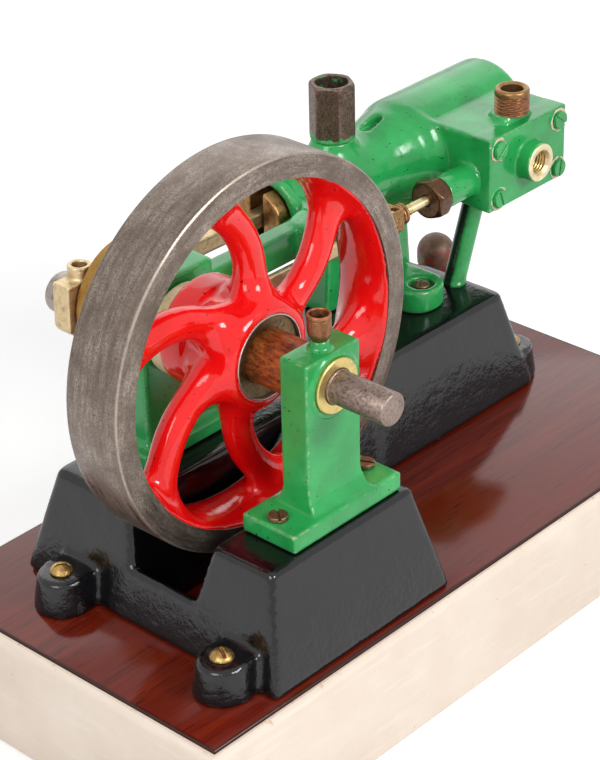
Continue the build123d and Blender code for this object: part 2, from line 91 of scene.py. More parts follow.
def box(p, low, high, r=0.0):
    """Block between two corners, with edges rounded by r."""
    q = [np.abs(c - (a + b) / 2) - (b - a) / 2 + r for c, a, b in zip(p, low, high)]
    far = np.sqrt(sum(np.maximum(v, 0) ** 2 for v in q))
    return far + np.minimum(np.maximum(np.maximum(q[0], q[1]), q[2]), 0) - r


def capped(side, end, r):
    """Overlap of a side and an end field, with its corner rounded by r."""
    side, end = side + r, end + r
    return np.hypot(np.maximum(side, 0), np.maximum(end, 0)) + np.minimum(np.maximum(side, end), 0) - r


def span(c, t0, t1):
    """Slab between two levels of one coordinate."""
    return np.abs(c - (t0 + t1) / 2) - (t1 - t0) / 2


def across(p, axis, centre):
    """The two coordinates square to an axis, from a centre."""
    u, v = [p[i] for i in range(3) if i != axis]
    return u - centre[0], v - centre[1]


def bar(p, axis, centre, radius, t0, t1, r=0.0):
    """Round bar along an axis."""
    return capped(np.hypot(*across(p, axis, centre)) - radius, span(p[axis], t0, t1), r)


def hexbar(p, axis, centre, flats, t0, t1, turn=0.0, r=0.0):
    """Hexagon bar along an axis, with its size across flats."""
    u, v = across(p, axis, centre)
    turns = [turn + k * math.pi / 3 for k in range(3)]
    side = np.abs(u * math.cos(turns[0]) + v * math.sin(turns[0]))
    for a in turns[1:]:
        side = meet(side, np.abs(u * math.cos(a) + v * math.sin(a)), 0.5)
    return capped(side - flats / 2, span(p[axis], t0, t1), r)


def cone(p, axis, centre, r0, r1, t0, t1, r=0.0):
    """Tapered round bar along an axis."""
    share = np.clip((p[axis] - t0) / (t1 - t0), 0, 1)
    side = (np.hypot(*across(p, axis, centre)) - r0 - (r1 - r0) * share) * 0.9
    return capped(side, span(p[axis], t0, t1), r)


def drafted(p, low, high, draft, k):
    """Block whose sides lean out towards its foot, with edges rounded by k."""
    lean = draft * (high[2] - p[2])
    slope = math.hypot(1, draft)
    body = meet(p[2] - high[2], low[2] - p[2])
    for axis in (0, 1):
        body = meet(body, (low[axis] - lean - p[axis]) / slope, k)
        body = meet(body, (p[axis] - high[axis] - lean) / slope, k)
    return body


def stick(p, a, b, radius):
    """Round-ended rod between two points."""
    a, b = np.array(a), np.array(b)
    d = b - a
    rel = [c - s for c, s in zip(p, a)]
    share = np.clip(sum(r * v for r, v in zip(rel, d)) / (d @ d), 0, 1)
    return np.sqrt(sum((r - share * v) ** 2 for r, v in zip(rel, d))) - radius


def lumps(p, size, seed):
    """Smooth random field, about -1 to 1, with bumps of that size."""
    table = np.random.RandomState(seed).uniform(-1, 1, (16, 16, 16))
    low, share = [], []
    for c in p:
        cell = np.floor(c / size)
        f = c / size - cell
        low.append(cell.astype(int))
        share.append(f * f * (3 - 2 * f))
    total = 0
    for corner in product((0, 1), repeat=3):
        value = table[tuple((c + n) % 16 for c, n in zip(low, corner))]
        weight = [s if n else 1 - s for n, s in zip(corner, share)]
        total = total + value * weight[0] * weight[1] * weight[2]
    return total


def surface(field, low, high, step, relax=1):
    """Quads over the zero level of a field, one vertex in each crossed cell."""
    counts = [int(math.ceil((b - a) / step)) + 1 for a, b in zip(low, high)]
    axes = [a + step * np.arange(n) for a, n in zip(low, counts)]
    value = field(np.meshgrid(*axes, indexing="ij", sparse=True))
    cells = tuple(n - 1 for n in counts)
    total = np.zeros(cells + (3,))
    hits = np.zeros(cells)
    for axis in range(3):
        for sides in product((0, 1), repeat=2):
            start = list(sides)
            start.insert(axis, 0)
            end = list(start)
            end[axis] = 1
            a, b = [value[tuple(slice(o, o + n) for o, n in zip(s, cells))] for s in (start, end)]
            crossed = (a < 0) != (b < 0)
            hits[crossed] += 1
            for d in range(3):
                extra = a[crossed] / (a[crossed] - b[crossed]) if d == axis else 0
                total[..., d][crossed] += start[d] + extra
    active = hits > 0
    index = np.full(cells, -1)
    index[active] = np.arange(active.sum())
    verts = np.array(low) + step * (np.argwhere(active) + total[active] / hits[active][:, None])
    quads = []
    for order in ((0, 1, 2), (1, 2, 0), (2, 0, 1)):
        v = np.moveaxis(value, order, (0, 1, 2))[:, 1:-1, 1:-1]
        ix = np.moveaxis(index, order, (0, 1, 2))
        ring = [ix[:, :-1, :-1], ix[:, 1:, :-1], ix[:, 1:, 1:], ix[:, :-1, 1:]]
        rising = (v[:-1] < 0) & (v[1:] >= 0)
        falling = (v[:-1] >= 0) & (v[1:] < 0)
        quads.append(np.stack([c[rising] for c in ring], 1))
        quads.append(np.stack([c[falling] for c in reversed(ring)], 1))
    quads = np.concatenate(quads)
    for _ in range(relax):
        mean, count = np.zeros_like(verts), np.zeros(len(verts))
        for n in range(4):
            a, b = quads[:, n], quads[:, (n + 1) % 4]
            for s, t in ((a, b), (b, a)):
                np.add.at(mean, s, verts[t])
                np.add.at(count, s, 1)
        verts = verts * 0.5 + mean / count[:, None] * 0.5
    return verts, quads


# Turned and threaded forms
def ring_points(axis, centre, along, radius, turns):
    """Points of a circle about an axis."""
    u = centre[0] + radius * np.cos(turns)
    v = centre[1] + radius * np.sin(turns)
    t = np.broadcast_to(along, u.shape)
    return np.stack({0: (t, u, v), 1: (u, t, v), 2: (u, v, t)}[axis], -1)


def turned(profile, axis, segments=96, centre=(0, 0), closed=False):
    """Profile of (along, radius) points turned about an axis."""
    turns = np.linspace(0, 2 * math.pi, segments, endpoint=False)
    verts, rings = [], []
    for along, radius in profile:
        points = ring_points(axis, centre, along, radius, turns[:1] if radius == 0 else turns)
        first = len(verts)
        verts.extend(points)
        rings.append([first + (0 if radius == 0 else n) for n in range(segments)])
    pairs = list(zip(rings, rings[1:] + rings[:1]))[: len(rings) if closed else -1]
    faces = []
    for a, b in pairs:
        for n in range(segments):
            m = (n + 1) % segments
            face = list(dict.fromkeys((a[n], a[m], b[m], b[n])))
            if len(face) > 2:
                faces.append(face)
    return np.array(verts), faces


def threaded(axis, centre, radius, depth, pitch, t0, t1, inward=False, segments=72):
    """Screw thread as a sheet, fading out at both ends."""
    turns = np.linspace(0, 2 * math.pi, segments, endpoint=False)
    steps = int((t1 - t0) / pitch * 10)
    rows = []
    for n in range(steps + 1):
        along = t0 + (t1 - t0) * n / steps
        fade = min(1.0, 3.0 * min(along - t0, t1 - along) / pitch)
        wave = np.abs(((along / pitch - turns / (2 * math.pi)) % 1) * 2 - 1)
        groove = depth * np.clip(wave * 1.4 - 0.2, 0, 1) * fade
        rows.append(ring_points(axis, centre, along, radius + (groove if inward else -groove), turns))
    verts = np.concatenate(rows)
    faces = []
    for n in range(steps):
        for m in range(segments):
            k = (m + 1) % segments
            row, after = n * segments, (n + 1) * segments
            faces.append((row + m, row + k, after + k, after + m))
    return verts, faces


# Pieces
def placed(name, data):
    """Object of some data, linked into the scene."""
    ob = bpy.data.objects.new(name, data)
    bpy.context.scene.collection.objects.link(ob)
    return ob


def piece(name, shape, look, body, stands_for=(), sharp=40):
    """Mesh piece of (vertices, faces) in millimetres from the shaft."""
    verts, faces = shape
    mesh = bpy.data.meshes.new(name)
    points = (np.asarray(verts) + SHAFT) * MM
    mesh.from_pydata(points.tolist(), [], [list(map(int, f)) for f in faces])
    solid = bmesh.new()
    solid.from_mesh(mesh)
    bmesh.ops.recalc_face_normals(solid, faces=solid.faces)
    solid.to_mesh(mesh)
    solid.free()
    return finish_piece(name, mesh, look, body, stands_for, sharp)


def finish_piece(name, mesh, look, body, stands_for, sharp):
    """Object of a mesh, with its material and body; the parts it stands for are hidden."""
    mesh.shade_smooth()
    if sharp:
        mesh.set_sharp_from_angle(angle=math.radians(sharp))
    mesh.materials.clear()
    mesh.materials.append(look)
    ob = placed(name, mesh)
    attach(ob, body)
    if stands_for:
        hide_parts(*stands_for)
    return ob


def padded(low, high, step):
    """Box with room for the cells that its surface crosses."""
    margin = 2.5 * step
    return [c - margin for c in low], [c + margin for c in high]


def carved(name, field, low, high, step, look, body, stands_for=(), relax=1):
    """Piece over the zero level of a field inside a box."""
    low, high = padded(low, high, step)
    return piece(name, surface(field, low, high, step, relax), look, body, stands_for, sharp=0)


def eased(name, node, ease, steps, look, body):
    """Copy of a solid with rounded edges."""
    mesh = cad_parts[node].data.copy()
    solid = bmesh.new()
    solid.from_mesh(mesh)
    bmesh.ops.remove_doubles(solid, verts=solid.verts, dist=1e-6)
    bmesh.ops.dissolve_limit(solid, angle_limit=math.radians(1), verts=solid.verts, edges=solid.edges)
    edges = [e for e in solid.edges if e.is_manifold and e.calc_face_angle() > math.radians(20)]
    bmesh.ops.bevel(solid, geom=edges, offset=ease * MM, segments=steps, profile=0.5, affect="EDGES")
    bmesh.ops.triangulate(solid, faces=[f for f in solid.faces if len(f.verts) > 4])
    solid.to_mesh(mesh)
    solid.free()
    return finish_piece(name, mesh, look, body, (node,), 30)


# Materials
def srgb(*rgb):
    lin = [c / 255 / 12.92 if c < 10.3 else ((c / 255 + 0.055) / 1.055) ** 2.4 for c in rgb]
    return (*lin, 1.0)


class Look:
    """A node material built up around one Principled shader."""

    def __init__(self, name, **values):
        self.material = bpy.data.materials.new(name)
        self.material.use_nodes = True
        self.nodes = self.material.node_tree.nodes
        self.links = self.material.node_tree.links
        self.shader = self.nodes["Principled BSDF"]
        self.place = self.node("TexCoord").outputs["Object"]
        self.normal = None
        for socket, value in values.items():
            self.shader.inputs[socket.replace("_", " ")].default_value = value

    def node(self, kind, *inputs, **settings):
        made = self.nodes.new("ShaderNode" + kind)
        for key, value in settings.items():
            setattr(made, key, value)
        for socket, value in zip(made.inputs, inputs):
            self.put(socket, value)
        return made

    def put(self, socket, value):
        if isinstance(value, bpy.types.NodeSocket):
            self.links.new(value, socket)
        else:
            socket.default_value = value

    def set(self, name, value):
        self.put(self.shader.inputs[name], value)

    def math(self, operation, a, b=0.0):
        return self.node("Math", a, b, operation=operation).outputs[0]

    def plus(self, a, b):
        return self.math("ADD", a, b)

    def less(self, a, b):
        return self.math("SUBTRACT", a, b)

    def times(self, a, b):
        return self.math("MULTIPLY", a, b)

    def length(self, a, b):
        squares = self.plus(self.math("POWER", a, 2), self.math("POWER", b, 2))
        return self.math("POWER", squares, 0.5)

    def stretch(self, scale, vector=None):
        made = self.node("VectorMath", vector or self.place, scale, operation="MULTIPLY")
        return made.outputs[0]

    def noise(self, size, detail=3.0, rough=0.55, vector=None, distortion=0.0):
        """Noise with features of that many millimetres."""
        made = self.node("TexNoise", vector or self.place)
        settings = {"Scale": 1 / (size * MM), "Detail": detail, "Roughness": rough, "Distortion": distortion}
        for socket, number in settings.items():
            made.inputs[socket].default_value = number
        return made.outputs["Fac"]

    def band(self, value, low, high, to_low=0.0, to_high=1.0):
        return self.node("MapRange", value, low, high, to_low, to_high).outputs[0]

    def mix(self, share, a, b):
        made = self.node("Mix", share, data_type="RGBA")
        self.put(made.inputs[6], a)
        self.put(made.inputs[7], b)
        return made.outputs[2]

    def stain(self, tone, value, low, high, rgb):
        """Another colour over a tone where a field is high."""
        return self.mix(self.band(value, low, high), tone, srgb(*rgb))

    def gloss(self, value, low, high):
        """Roughness between two values, by a field."""
        self.set("Roughness", self.band(value, 0.3, 0.7, low, high))

    def edges(self, low, high):
        return self.band(self.node("NewGeometry").outputs["Pointiness"], low, high)

    def axes(self):
        return self.node("SeparateXYZ", self.place).outputs

    def around(self, turn_scale):
        """Coordinates (turn, along, radius) about the shaft."""
        x, y, z = self.axes()
        x = self.less(x, SHAFT[0] * MM)
        z = self.less(z, SHAFT[2] * MM)
        turn = self.times(self.math("ARCTAN2", z, x), turn_scale)
        radius = self.length(x, z)
        return self.node("CombineXYZ", turn, y, radius).outputs[0], radius

    def bump(self, height, depth):
        """Relief of that many millimetres."""
        made = self.node("Bump", 1.0, depth * MM)
        self.put(made.inputs["Height"], height)
        if self.normal:
            self.put(made.inputs["Normal"], self.normal)
        self.normal = made.outputs[0]
        self.set("Normal", self.normal)


def enamel(name, colour, deep, chip, chip_start, chip_end, specks, peel, rough, grit=0.0):
    """Gloss paint over a casting: uneven colour, specks, chipped edges and grit low on the bed."""
    look = Look(name)
    tone = look.stain(srgb(*deep), look.noise(14, 3), 0.35, 0.65, colour)
    dirt = look.band(look.noise(1.1, 2, 0.5), specks, specks + 0.03)
    tone = look.mix(dirt, tone, srgb(*[c * 0.18 for c in deep]))
    patchy = look.band(look.noise(2.2, 4, 0.7), 0.48, 0.62)
    worn = look.times(look.edges(chip_start, chip_end), patchy)
    look.set("Base Color", look.mix(worn, tone, srgb(*chip)))
    look.set("Metallic", look.times(worn, 0.7))
    scuffs = look.band(look.noise(3.5, 5, 0.7), 0.3, 0.7, rough * 0.7, rough * 1.5)
    look.set("Roughness", look.plus(scuffs, look.times(worn, 0.2)))
    look.bump(look.noise(5, 2), peel)
    look.bump(look.noise(0.8, 2), peel * 0.12)
    low = look.band(look.axes()[2], 0.053, 0.047, 0.35, 1.0)
    look.bump(look.times(look.noise(2.0, 4, 0.6), low), grit)
    look.bump(look.less(1.0, worn), 0.06)
    return look.material


def metal(name, colour, stain, share, rough, grain, pits=0.02, size=2.0, shine=0.9):
    """Bare metal with stains of another colour, fine grain and rubbed edges."""
    look = Look(name, Metallic=shine)
    tone = look.stain(srgb(*colour), look.noise(size, 5, 0.7), share, share + 0.25, stain)
    rub = look.times(look.edges(0.52, 0.6), 0.5)
    look.set("Base Color", look.mix(rub, tone, srgb(*[min(255, c * 1.35 + 20) for c in colour])))
    look.gloss(look.noise(size * 0.6, 5, 0.7), rough * 0.75, rough * 1.35)
    look.bump(look.noise(grain, 4, 0.7), pits)
    return look.material


def iron_look():
    """Machined rim: turned rings on the face, streaks round the tread, brown stain, and bright corners that
    are partly rubbed metal, partly painted highlight.
    """
    look = Look("machined_iron", Metallic=0.8)
    around, radius = look.around(0.057)
    along = look.axes()[1]
    streak = look.noise(1.6, 6, 0.75, look.stretch((0.12, 1.0, 1.0), around))
    blot = look.noise(11, 6, 0.68)
    speck = look.noise(0.5, 4, 0.7)
    tone = look.stain(srgb(170, 156, 145), blot, 0.35, 0.7, (106, 91, 80))
    tone = look.stain(tone, speck, 0.42, 0.66, (98, 86, 77))
    tone = look.mix(look.band(streak, 0.3, 0.6), srgb(98, 85, 76), tone)
    tone = look.stain(tone, look.noise(1.3, 3, 0.6), 0.66, 0.74, (70, 56, 46))
    # Bright corners where the tread meets the faces: partly rubbed metal, partly painted highlight.
    off_middle = look.math("ABSOLUTE", look.less(along, (SHAFT[1] + RIM_WIDTH / 2) * MM))
    corner = look.times(look.band(off_middle, 0.0088, 0.0092), look.band(radius, 0.0564, 0.0567))
    worn = look.times(corner, look.band(look.noise(3, 4, 0.7), 0.25, 0.6, 0.35, 1.0))
    look.set("Base Color", look.mix(worn, tone, srgb(172, 160, 148)))
    patches = look.plus(streak, look.less(blot, 0.5))
    look.gloss(patches, 0.26, 0.48)
    look.bump(look.noise(0.45, 3, 0.6, look.stretch((0.02, 1.0, 1.0), around)), 0.03)
    look.bump(look.noise(0.8, 4, 0.7), 0.015)
    return look.material


def wood_look():
    """Varnished mahogany with its grain along the plinth."""
    look = Look("mahogany_varnish", Specular_IOR_Level=0.0, Coat_Weight=0.7, Coat_Roughness=0.12)
    grain = look.noise(3.2, 6, 0.65, look.stretch((0.045, 1.0, 1.0)), 0.6)
    pores = look.noise(0.55, 2, 0.5, look.stretch((0.05, 1.0, 1.0)))
    broad = look.noise(22, 2, 0.5, look.stretch((0.2, 1.0, 1.0)))
    tone = look.stain(srgb(80, 16, 6), grain, 0.32, 0.68, (120, 38, 17))
    tone = look.stain(tone, broad, 0.4, 0.7, (106, 28, 12))
    tone = look.stain(tone, pores, 0.6, 0.72, (64, 16, 8))
    x, y, _ = look.axes()
    beyond = [look.less(look.math("ABSOLUTE", c), half * MM) for c, half in ((x, BOARD_X), (y, BOARD_Y))]
    rim = look.math("MAXIMUM", *beyond)
    ragged = look.plus(rim, look.times(look.noise(4, 4, 0.7), 0.0014))
    look.set("Base Color", look.mix(look.band(ragged, -0.0004, 0.0003), tone, srgb(58, 20, 12)))
    look.gloss(grain, 0.28, 0.42)
    look.bump(look.noise(9, 2), 0.05)
    look.bump(pores, 0.012)
    look.set("Coat Normal", look.normal)
    return look.material


def cream_look():
    """Old cream paint on wood: brush marks, grime in the hollows and knocks."""
    look = Look("cream_paint", Specular_IOR_Level=0.35)
    brush = look.noise(2.4, 4, 0.6, look.stretch((0.08, 0.08, 1.0)))
    tone = look.stain(srgb(239, 224, 209), look.noise(26, 4, 0.6), 0.35, 0.7, (229, 212, 195))
    tone = look.stain(tone, brush, 0.55, 0.8, (243, 231, 219))
    tone = look.stain(tone, look.noise(1.3, 3, 0.6), 0.72, 0.76, (176, 148, 120))
    z = look.axes()[2]
    top = look.times(look.band(z, 0.0315, 0.0336), look.band(look.noise(6, 5, 0.75), 0.6, 0.68))
    tone = look.mix(top, tone, srgb(206, 176, 146))
    look.set("Base Color", tone)
    look.gloss(brush, 0.42, 0.6)
    look.bump(brush, 0.05)
    look.bump(look.noise(12, 3), 0.12)
    return look.material


# The pale chip colour on the green paint's sharp edges is partly worn paint, partly painted edge highlight.
GREEN = enamel("green_enamel", (45, 174, 90), (36, 150, 75), (214, 200, 166), 0.522, 0.57, 0.7, 0.12, 0.16)
RED = enamel("red_enamel", (246, 20, 20), (234, 14, 15), (70, 22, 18), 0.58, 0.64, 0.705, 0.12, 0.1)
BLACK = enamel("black_enamel", (18, 17, 20), (13, 12, 15), (120, 116, 112), 0.545, 0.6, 0.73, 0.1, 0.1, 0.2)
IRON = iron_look()
WOOD = wood_look()
CREAM = cream_look()
BRONZE = metal("worn_bronze", (176, 142, 84), (116, 88, 52), 0.5, 0.38, 0.6)
BRASS = metal("dull_brass", (196, 166, 104), (136, 108, 64), 0.5, 0.34, 0.8, 0.03)
GOLD = metal("bright_brass", (140, 104, 50), (84, 56, 30), 0.5, 0.3, 1.0)
PALE = metal("pale_brass", (208, 186, 146), (152, 128, 90), 0.5, 0.4, 0.5, 0.04)
CHALK = metal("chalky_brass", (226, 212, 172), (190, 172, 130), 0.5, 0.5, 0.5, 0.03, shine=0.1)
STEEL = metal("grey_steel", (158, 150, 143), (110, 97, 88), 0.5, 0.34, 0.7, 0.03)
GRIME = metal("oily_iron", (122, 100, 70), (54, 44, 36), 0.45, 0.45, 0.6, 0.06, 1.2)
ROD_STEEL = metal("rod_steel", (196, 170, 132), (134, 108, 76), 0.5, 0.34, 0.8)
SPECKLED = metal("speckled_steel", (142, 125, 116), (76, 60, 52), 0.44, 0.42, 0.35, 0.06, 0.9)
DARK = metal("dark_steel", (84, 72, 64), (48, 40, 36), 0.48, 0.4, 0.5, 0.06, 1.4)
NUT = metal("dark_bronze", (98, 70, 50), (52, 38, 30), 0.48, 0.3, 0.7, 0.03, 2.0)
BROWN = metal("brown_metal", (142, 98, 68), (92, 58, 40), 0.48, 0.36, 0.6, 0.03, 1.8)
SCREW = metal("screw_steel", (134, 104, 78), (64, 78, 48), 0.48, 0.42, 0.5, 0.05, 1.2)
SCREW_BRASS = metal("screw_brass", (186, 152, 92), (104, 78, 44), 0.44, 0.36, 0.5, 0.05, 1.0)
KNUCKLE = metal("knuckle_bronze", (154, 116, 72), (92, 64, 42), 0.46, 0.36, 0.6, 0.03, 1.5)
LIP_BRASS = metal("olive_brass", (136, 104, 64), (98, 68, 42), 0.46, 0.34, 0.6, 0.03, 1.4)
CHIPS = metal("chipped_paint", (214, 196, 168), (150, 112, 76), 0.5, 0.6, 0.4, 0.05, 0.8, 0.1)


def cup_look():
    """Pitted brown steel with painted highlights along its edges, and traces of green paint at its foot and
    in its bore.
    """
    look = Look("pitted_cup_steel", Metallic=0.75)
    pits = look.noise(0.6, 4, 0.7)
    tone = look.stain(srgb(122, 100, 88), look.noise(2.4, 5, 0.7), 0.35, 0.7, (84, 66, 57))
    tone = look.stain(tone, pits, 0.5, 0.66, (52, 40, 35))
    # Painted highlight: the cup's sharp edges are painted pale.
    tone = look.mix(look.edges(0.53, 0.6), tone, srgb(176, 160, 148))
    x, y, z = look.axes()
    ragged = look.plus(z, look.times(look.noise(3.5, 4, 0.65), 0.007))
    foot = look.band(ragged, 0.1301, 0.1296)
    away = [look.math("POWER", look.less(c, (s + o) * MM), 2)
            for c, s, o in ((x, SHAFT[0], CUP_X), (y, SHAFT[1], CYL_Y))]
    inside = look.band(look.plus(*away), 0.00546 ** 2, 0.00526 ** 2)
    trace = look.times(inside, look.band(look.noise(1.8, 4, 0.7), 0.55, 0.6))
    paint = look.math("MAXIMUM", foot, trace)
    look.set("Base Color", look.mix(paint, tone, srgb(38, 150, 76)))
    look.set("Metallic", look.less(0.75, look.times(paint, 0.75)))
    look.gloss(pits, 0.3, 0.55)
    look.bump(pits, 0.08)
    return look.material


def rust_look():
    """Orange rust with dark streaks along the shaft."""
    look = Look("rusty_steel", Metallic=0.45)
    streak = look.noise(1.1, 5, 0.7, look.stretch((1.0, 0.3, 1.0)))
    blot = look.noise(4.5, 4, 0.65)
    tone = look.stain(srgb(104, 50, 22), streak, 0.36, 0.64, (186, 106, 46))
    tone = look.stain(tone, blot, 0.5, 0.72, (58, 28, 18))
    tone = look.stain(tone, look.noise(0.7, 3, 0.7), 0.6, 0.7, (44, 26, 20))
    look.set("Base Color", tone)
    look.gloss(streak, 0.34, 0.55)
    look.bump(look.noise(0.6, 4, 0.7), 0.06)
    look.bump(streak, 0.05)
    return look.material


def strut_shade_look():
    """Green enamel on a bar, with painted shade: the side towards minus x and plus y is painted near-black.
    """
    look = Look("strut_enamel_painted_shade", Roughness=0.18)
    x, y, z = look.axes()
    lean = (STRUT_HEAD[0] - STRUT_FOOT[0]) / (STRUT_HEAD[2] - STRUT_FOOT[2])
    foot_x, foot_y, foot_z = (SHAFT + STRUT_FOOT) * MM
    axis = look.times(look.less(z, foot_z), lean)
    off_x = look.less(look.less(x, foot_x), axis)
    off_y = look.less(y, foot_y)
    # Painted shade: the bar is split lengthwise, and the side towards minus x and plus y is darkened.
    side = look.less(look.times(off_x, 0.68), look.times(off_y, 0.73))
    ragged = look.plus(side, look.times(look.noise(2.5, 4, 0.65), 0.0012))
    paint = look.band(ragged, -0.0013, -0.0007)
    tone = look.stain(srgb(34, 140, 70), look.noise(6, 3), 0.35, 0.65, (45, 168, 86))
    # Near-black painted shade on the one side, green enamel on the other.
    look.set("Base Color", look.mix(paint, srgb(26, 32, 29), tone))
    look.gloss(look.noise(3.5, 5, 0.7), 0.13, 0.26)
    look.bump(look.noise(3, 3), 0.1)
    return look.material


def pot_stain_and_reflection_look():
    """Dull brown stained metal, with a painted reflection of the red flywheel and the green castings in
    patches low on its side.
    """
    look = Look("stained_pot_painted_reflection", Metallic=0.25)
    tone = look.stain(srgb(124, 92, 76), look.noise(2.4, 5, 0.7), 0.4, 0.68, (92, 64, 52))
    z = look.axes()[2]
    # Painted reflection: red and green patches in a band low on the dome.
    lower = look.times(look.band(z, 0.0655, 0.0635), look.band(z, 0.0535, 0.0555))
    red = look.times(lower, look.band(look.noise(2.6, 4, 0.6), 0.52, 0.58, 0.0, 0.85))
    green = look.times(lower, look.band(look.noise(3.4, 3, 0.55), 0.44, 0.38, 0.0, 0.8))
    tone = look.mix(red, tone, srgb(168, 44, 38))
    look.set("Base Color", look.mix(green, tone, srgb(84, 146, 92)))
    look.gloss(look.noise(1.5, 4, 0.7), 0.4, 0.6)
    look.bump(look.noise(0.6, 4, 0.7), 0.03)
    return look.material


CUP_STEEL = cup_look()
RUST = rust_look()
STRUT_PAINT_AND_SHADE = strut_shade_look()
POT_STAIN_AND_REFLECTION = pot_stain_and_reflection_look()


# Plinth, board and bed
eased("plinth_painted", "plinth", 0.8, 3, CREAM, ROOT)
eased("board_varnished", "mahogany_board", 0.35, 2, WOOD, ROOT)

LUGS = ((-45.4, 39.6), (-45.4, -22.9), (140.4, 25.8), (140.4, 54.0))
LUG_TOP = -64.0
BED_DRAFT = 0.24
BED_NEAR, BED_FAR = 24.2, 53.5
PAD_START, PAD_FAR = 74.0, 69.0
BLOCK_NEAR, BLOCK_FAR, BLOCK_END = -29.8, -8.3, 24.7
PIT_WALL_TOP = -59.4


def bed(p):
    """Long bed with a pad under the cylinder, a block under the pedestal, pit walls and lugs."""
    def slab(x0, x1, y0, y1, k):
        return drafted(p, (x0, y0, BED_FOOT), (x1, y1, BED_TOP), BED_DRAFT, k)

    main = slab(BED_START, BED_END, BED_NEAR, BED_FAR, 2.2)
    pad = slab(PAD_START, BED_END, BED_NEAR, PAD_FAR, 2.2)
    block = slab(BED_START, BLOCK_END, BLOCK_NEAR, BLOCK_FAR, 1.6)
    body = join(join(main, pad, 4), block)
    for crank_end in (True, False):
        ends = (BED_START, 0.0) if crank_end else (0.0, BLOCK_END)
        wall = meet(slab(*ends, BLOCK_NEAR, BED_FAR, 1.0), p[2] - PIT_WALL_TOP, 0.8)
        wall = meet(wall, p[0] + 34.5 if crank_end else 26.8 - p[0], 1.0)
        wall = meet(wall, span(p[1], -12.5, 28.5))
        body = join(body, wall, 0.6)
    for x, y in LUGS:
        root = BED_START if x < 0 else BED_END
        lug = cone(p, 2, (x, y), 8.7, 7.0, BED_FOOT, LUG_TOP, 0.7)
        low = (min(x, root), y - 6.8, BED_FOOT)
        high = (max(x, root), y + 6.8, LUG_TOP)
        lug = join(lug, drafted(p, low, high, 0.15, 0.7), 1.0)
        body = join(body, lug, 1.2)
    body = body + 0.06 * lumps(p, 6.0, 3) + 0.03 * lumps(p, 1.9, 4)
    return meet(meet(body, BED_FOOT - p[2]), p[2] - BED_TOP, 1.2)


carved("bed_cast", bed, (-54, -38.5, BED_FOOT), (149, 77.5, BED_TOP), 0.82, BLACK, ROOT,
       ("bed_casting",), 2)


def slotted(p, axis, centre, radius, base, rise, turn, dome=0.0, slot=0.9):
    """Slotted screw head; rise is negative for a head towards minus."""
    tip = base + rise
    head = bar(p, axis, centre, radius, min(base, tip), max(base, tip), 0.35)
    u, v = across(p, axis, centre)
    if dome:
        ball = (radius ** 2 + dome ** 2) / (2 * dome)
        along = p[axis] - tip + math.copysign(ball, rise)
        head = meet(head, np.sqrt(u * u + v * v + along * along) - ball, 0.3)
    side = np.abs(u * math.sin(turn) - v * math.cos(turn)) - slot / 2
    depth = (p[axis] - tip) * math.copysign(1, rise) + abs(rise) * 0.45
    return cut(head, meet(side, -depth), 0.12)


def screws(name, places, axis, radius, base, rise, look, node, dome=0.0, step=0.2):
    """One mesh of screw heads, each with its own slot angle."""
    verts, faces = [], []
    for (u, v), turn in places:
        low, high = [u - radius, v - radius], [u + radius, v + radius]
        low.insert(axis, min(base, base + rise))
        high.insert(axis, max(base, base + rise))
        part = surface(lambda p: slotted(p, axis, (u, v), radius, base, rise, turn, dome),
                       *padded(low, high, step), step)
        faces.extend((part[1] + sum(map(len, verts))).tolist())
        verts.append(part[0])
    return piece(name, (np.concatenate(verts), faces), look, ROOT, (node,), sharp=0)


screws("bed_screw_heads", list(zip(LUGS, (-0.6, 1.1, 1.3, 2.3))), 2, 3.5, LUG_TOP, 2.6, SCREW_BRASS,
       "bed_wood_screws", 2.2)


# Outboard bearing
PED_Y = -18.8
PED_FOOT_TOP = -35.6


def pedestal(p):
    """Upright on a foot, with a swept root, a ring round the bush and a cup boss."""
    x, y, z = p
    share = np.clip((z - PED_FOOT_TOP) / 6.5, 0, 1)
    reach = 3.9 * (1 - np.sqrt(1 - (1 - share) ** 2))
    side = np.maximum(np.abs(x) - 10.65 - 0.25 * reach, 0.85 * (np.abs(y - PED_Y) - 4.9 - reach))
    upright = capped(side, span(z, -40, 9.5), 0.45)
    foot = box(p, (-21.9, -28.45, BED_TOP), (21.9, -9.15, PED_FOOT_TOP), 0.7)
    body = join(upright, foot, 0.6)
    ring = np.hypot(np.hypot(x, z) - 8.7, y + 23.7) - 0.75
    body = join(body, ring, 0.7)
    body = join(body, cone(p, 2, (0, PED_Y), 3.1, 2.5, 9.0, 12.3, 0.6), 1.2)
    body = body + 0.035 * lumps(p, 5.0, 8)
    return cut(body, np.hypot(x, z) - 6.2)


carved("pedestal_cast", pedestal, (-21.9, -28.45, BED_TOP), (21.9, -9.15, 12.3), 0.45, GREEN, ROOT,
       ("outboard_pedestal",))
BUSH = [(-13.9, 5.05), (-13.9, 6.25), (-23.7, 6.25), (-23.7, 7.7), (-24.0, 8.0), (-24.9, 8.0), (-25.2, 7.7),
        (-25.2, 5.35), (-24.9, 5.05)]
piece("outboard_bush_turned", turned(BUSH, 1, closed=True), BRASS, ROOT, ("outboard_bush",))
screws("pedestal_screw_heads", [((-17.75, PED_Y), 0.9), ((17.75, PED_Y), 2.0)], 2, 2.8, PED_FOOT_TOP, 1.6,
       SCREW, "pedestal_screws", step=0.16)
CUP = [(9.5, 0), (9.5, 2.3), (12.0, 2.3), (12.7, 2.7), (13.8, 3.15), (14.6, 3.3), (18.3, 3.3), (18.5, 3.2),
       (18.7, 3.3), (19.5, 3.35), (19.8, 3.2), (19.8, 2.75), (19.5, 2.6), (13.9, 2.5), (13.8, 0)]
piece("pedestal_cup_turned", turned(CUP, 2, 64, (0, PED_Y)), BROWN, ROOT,
      ("pedestal_oil_cup",))


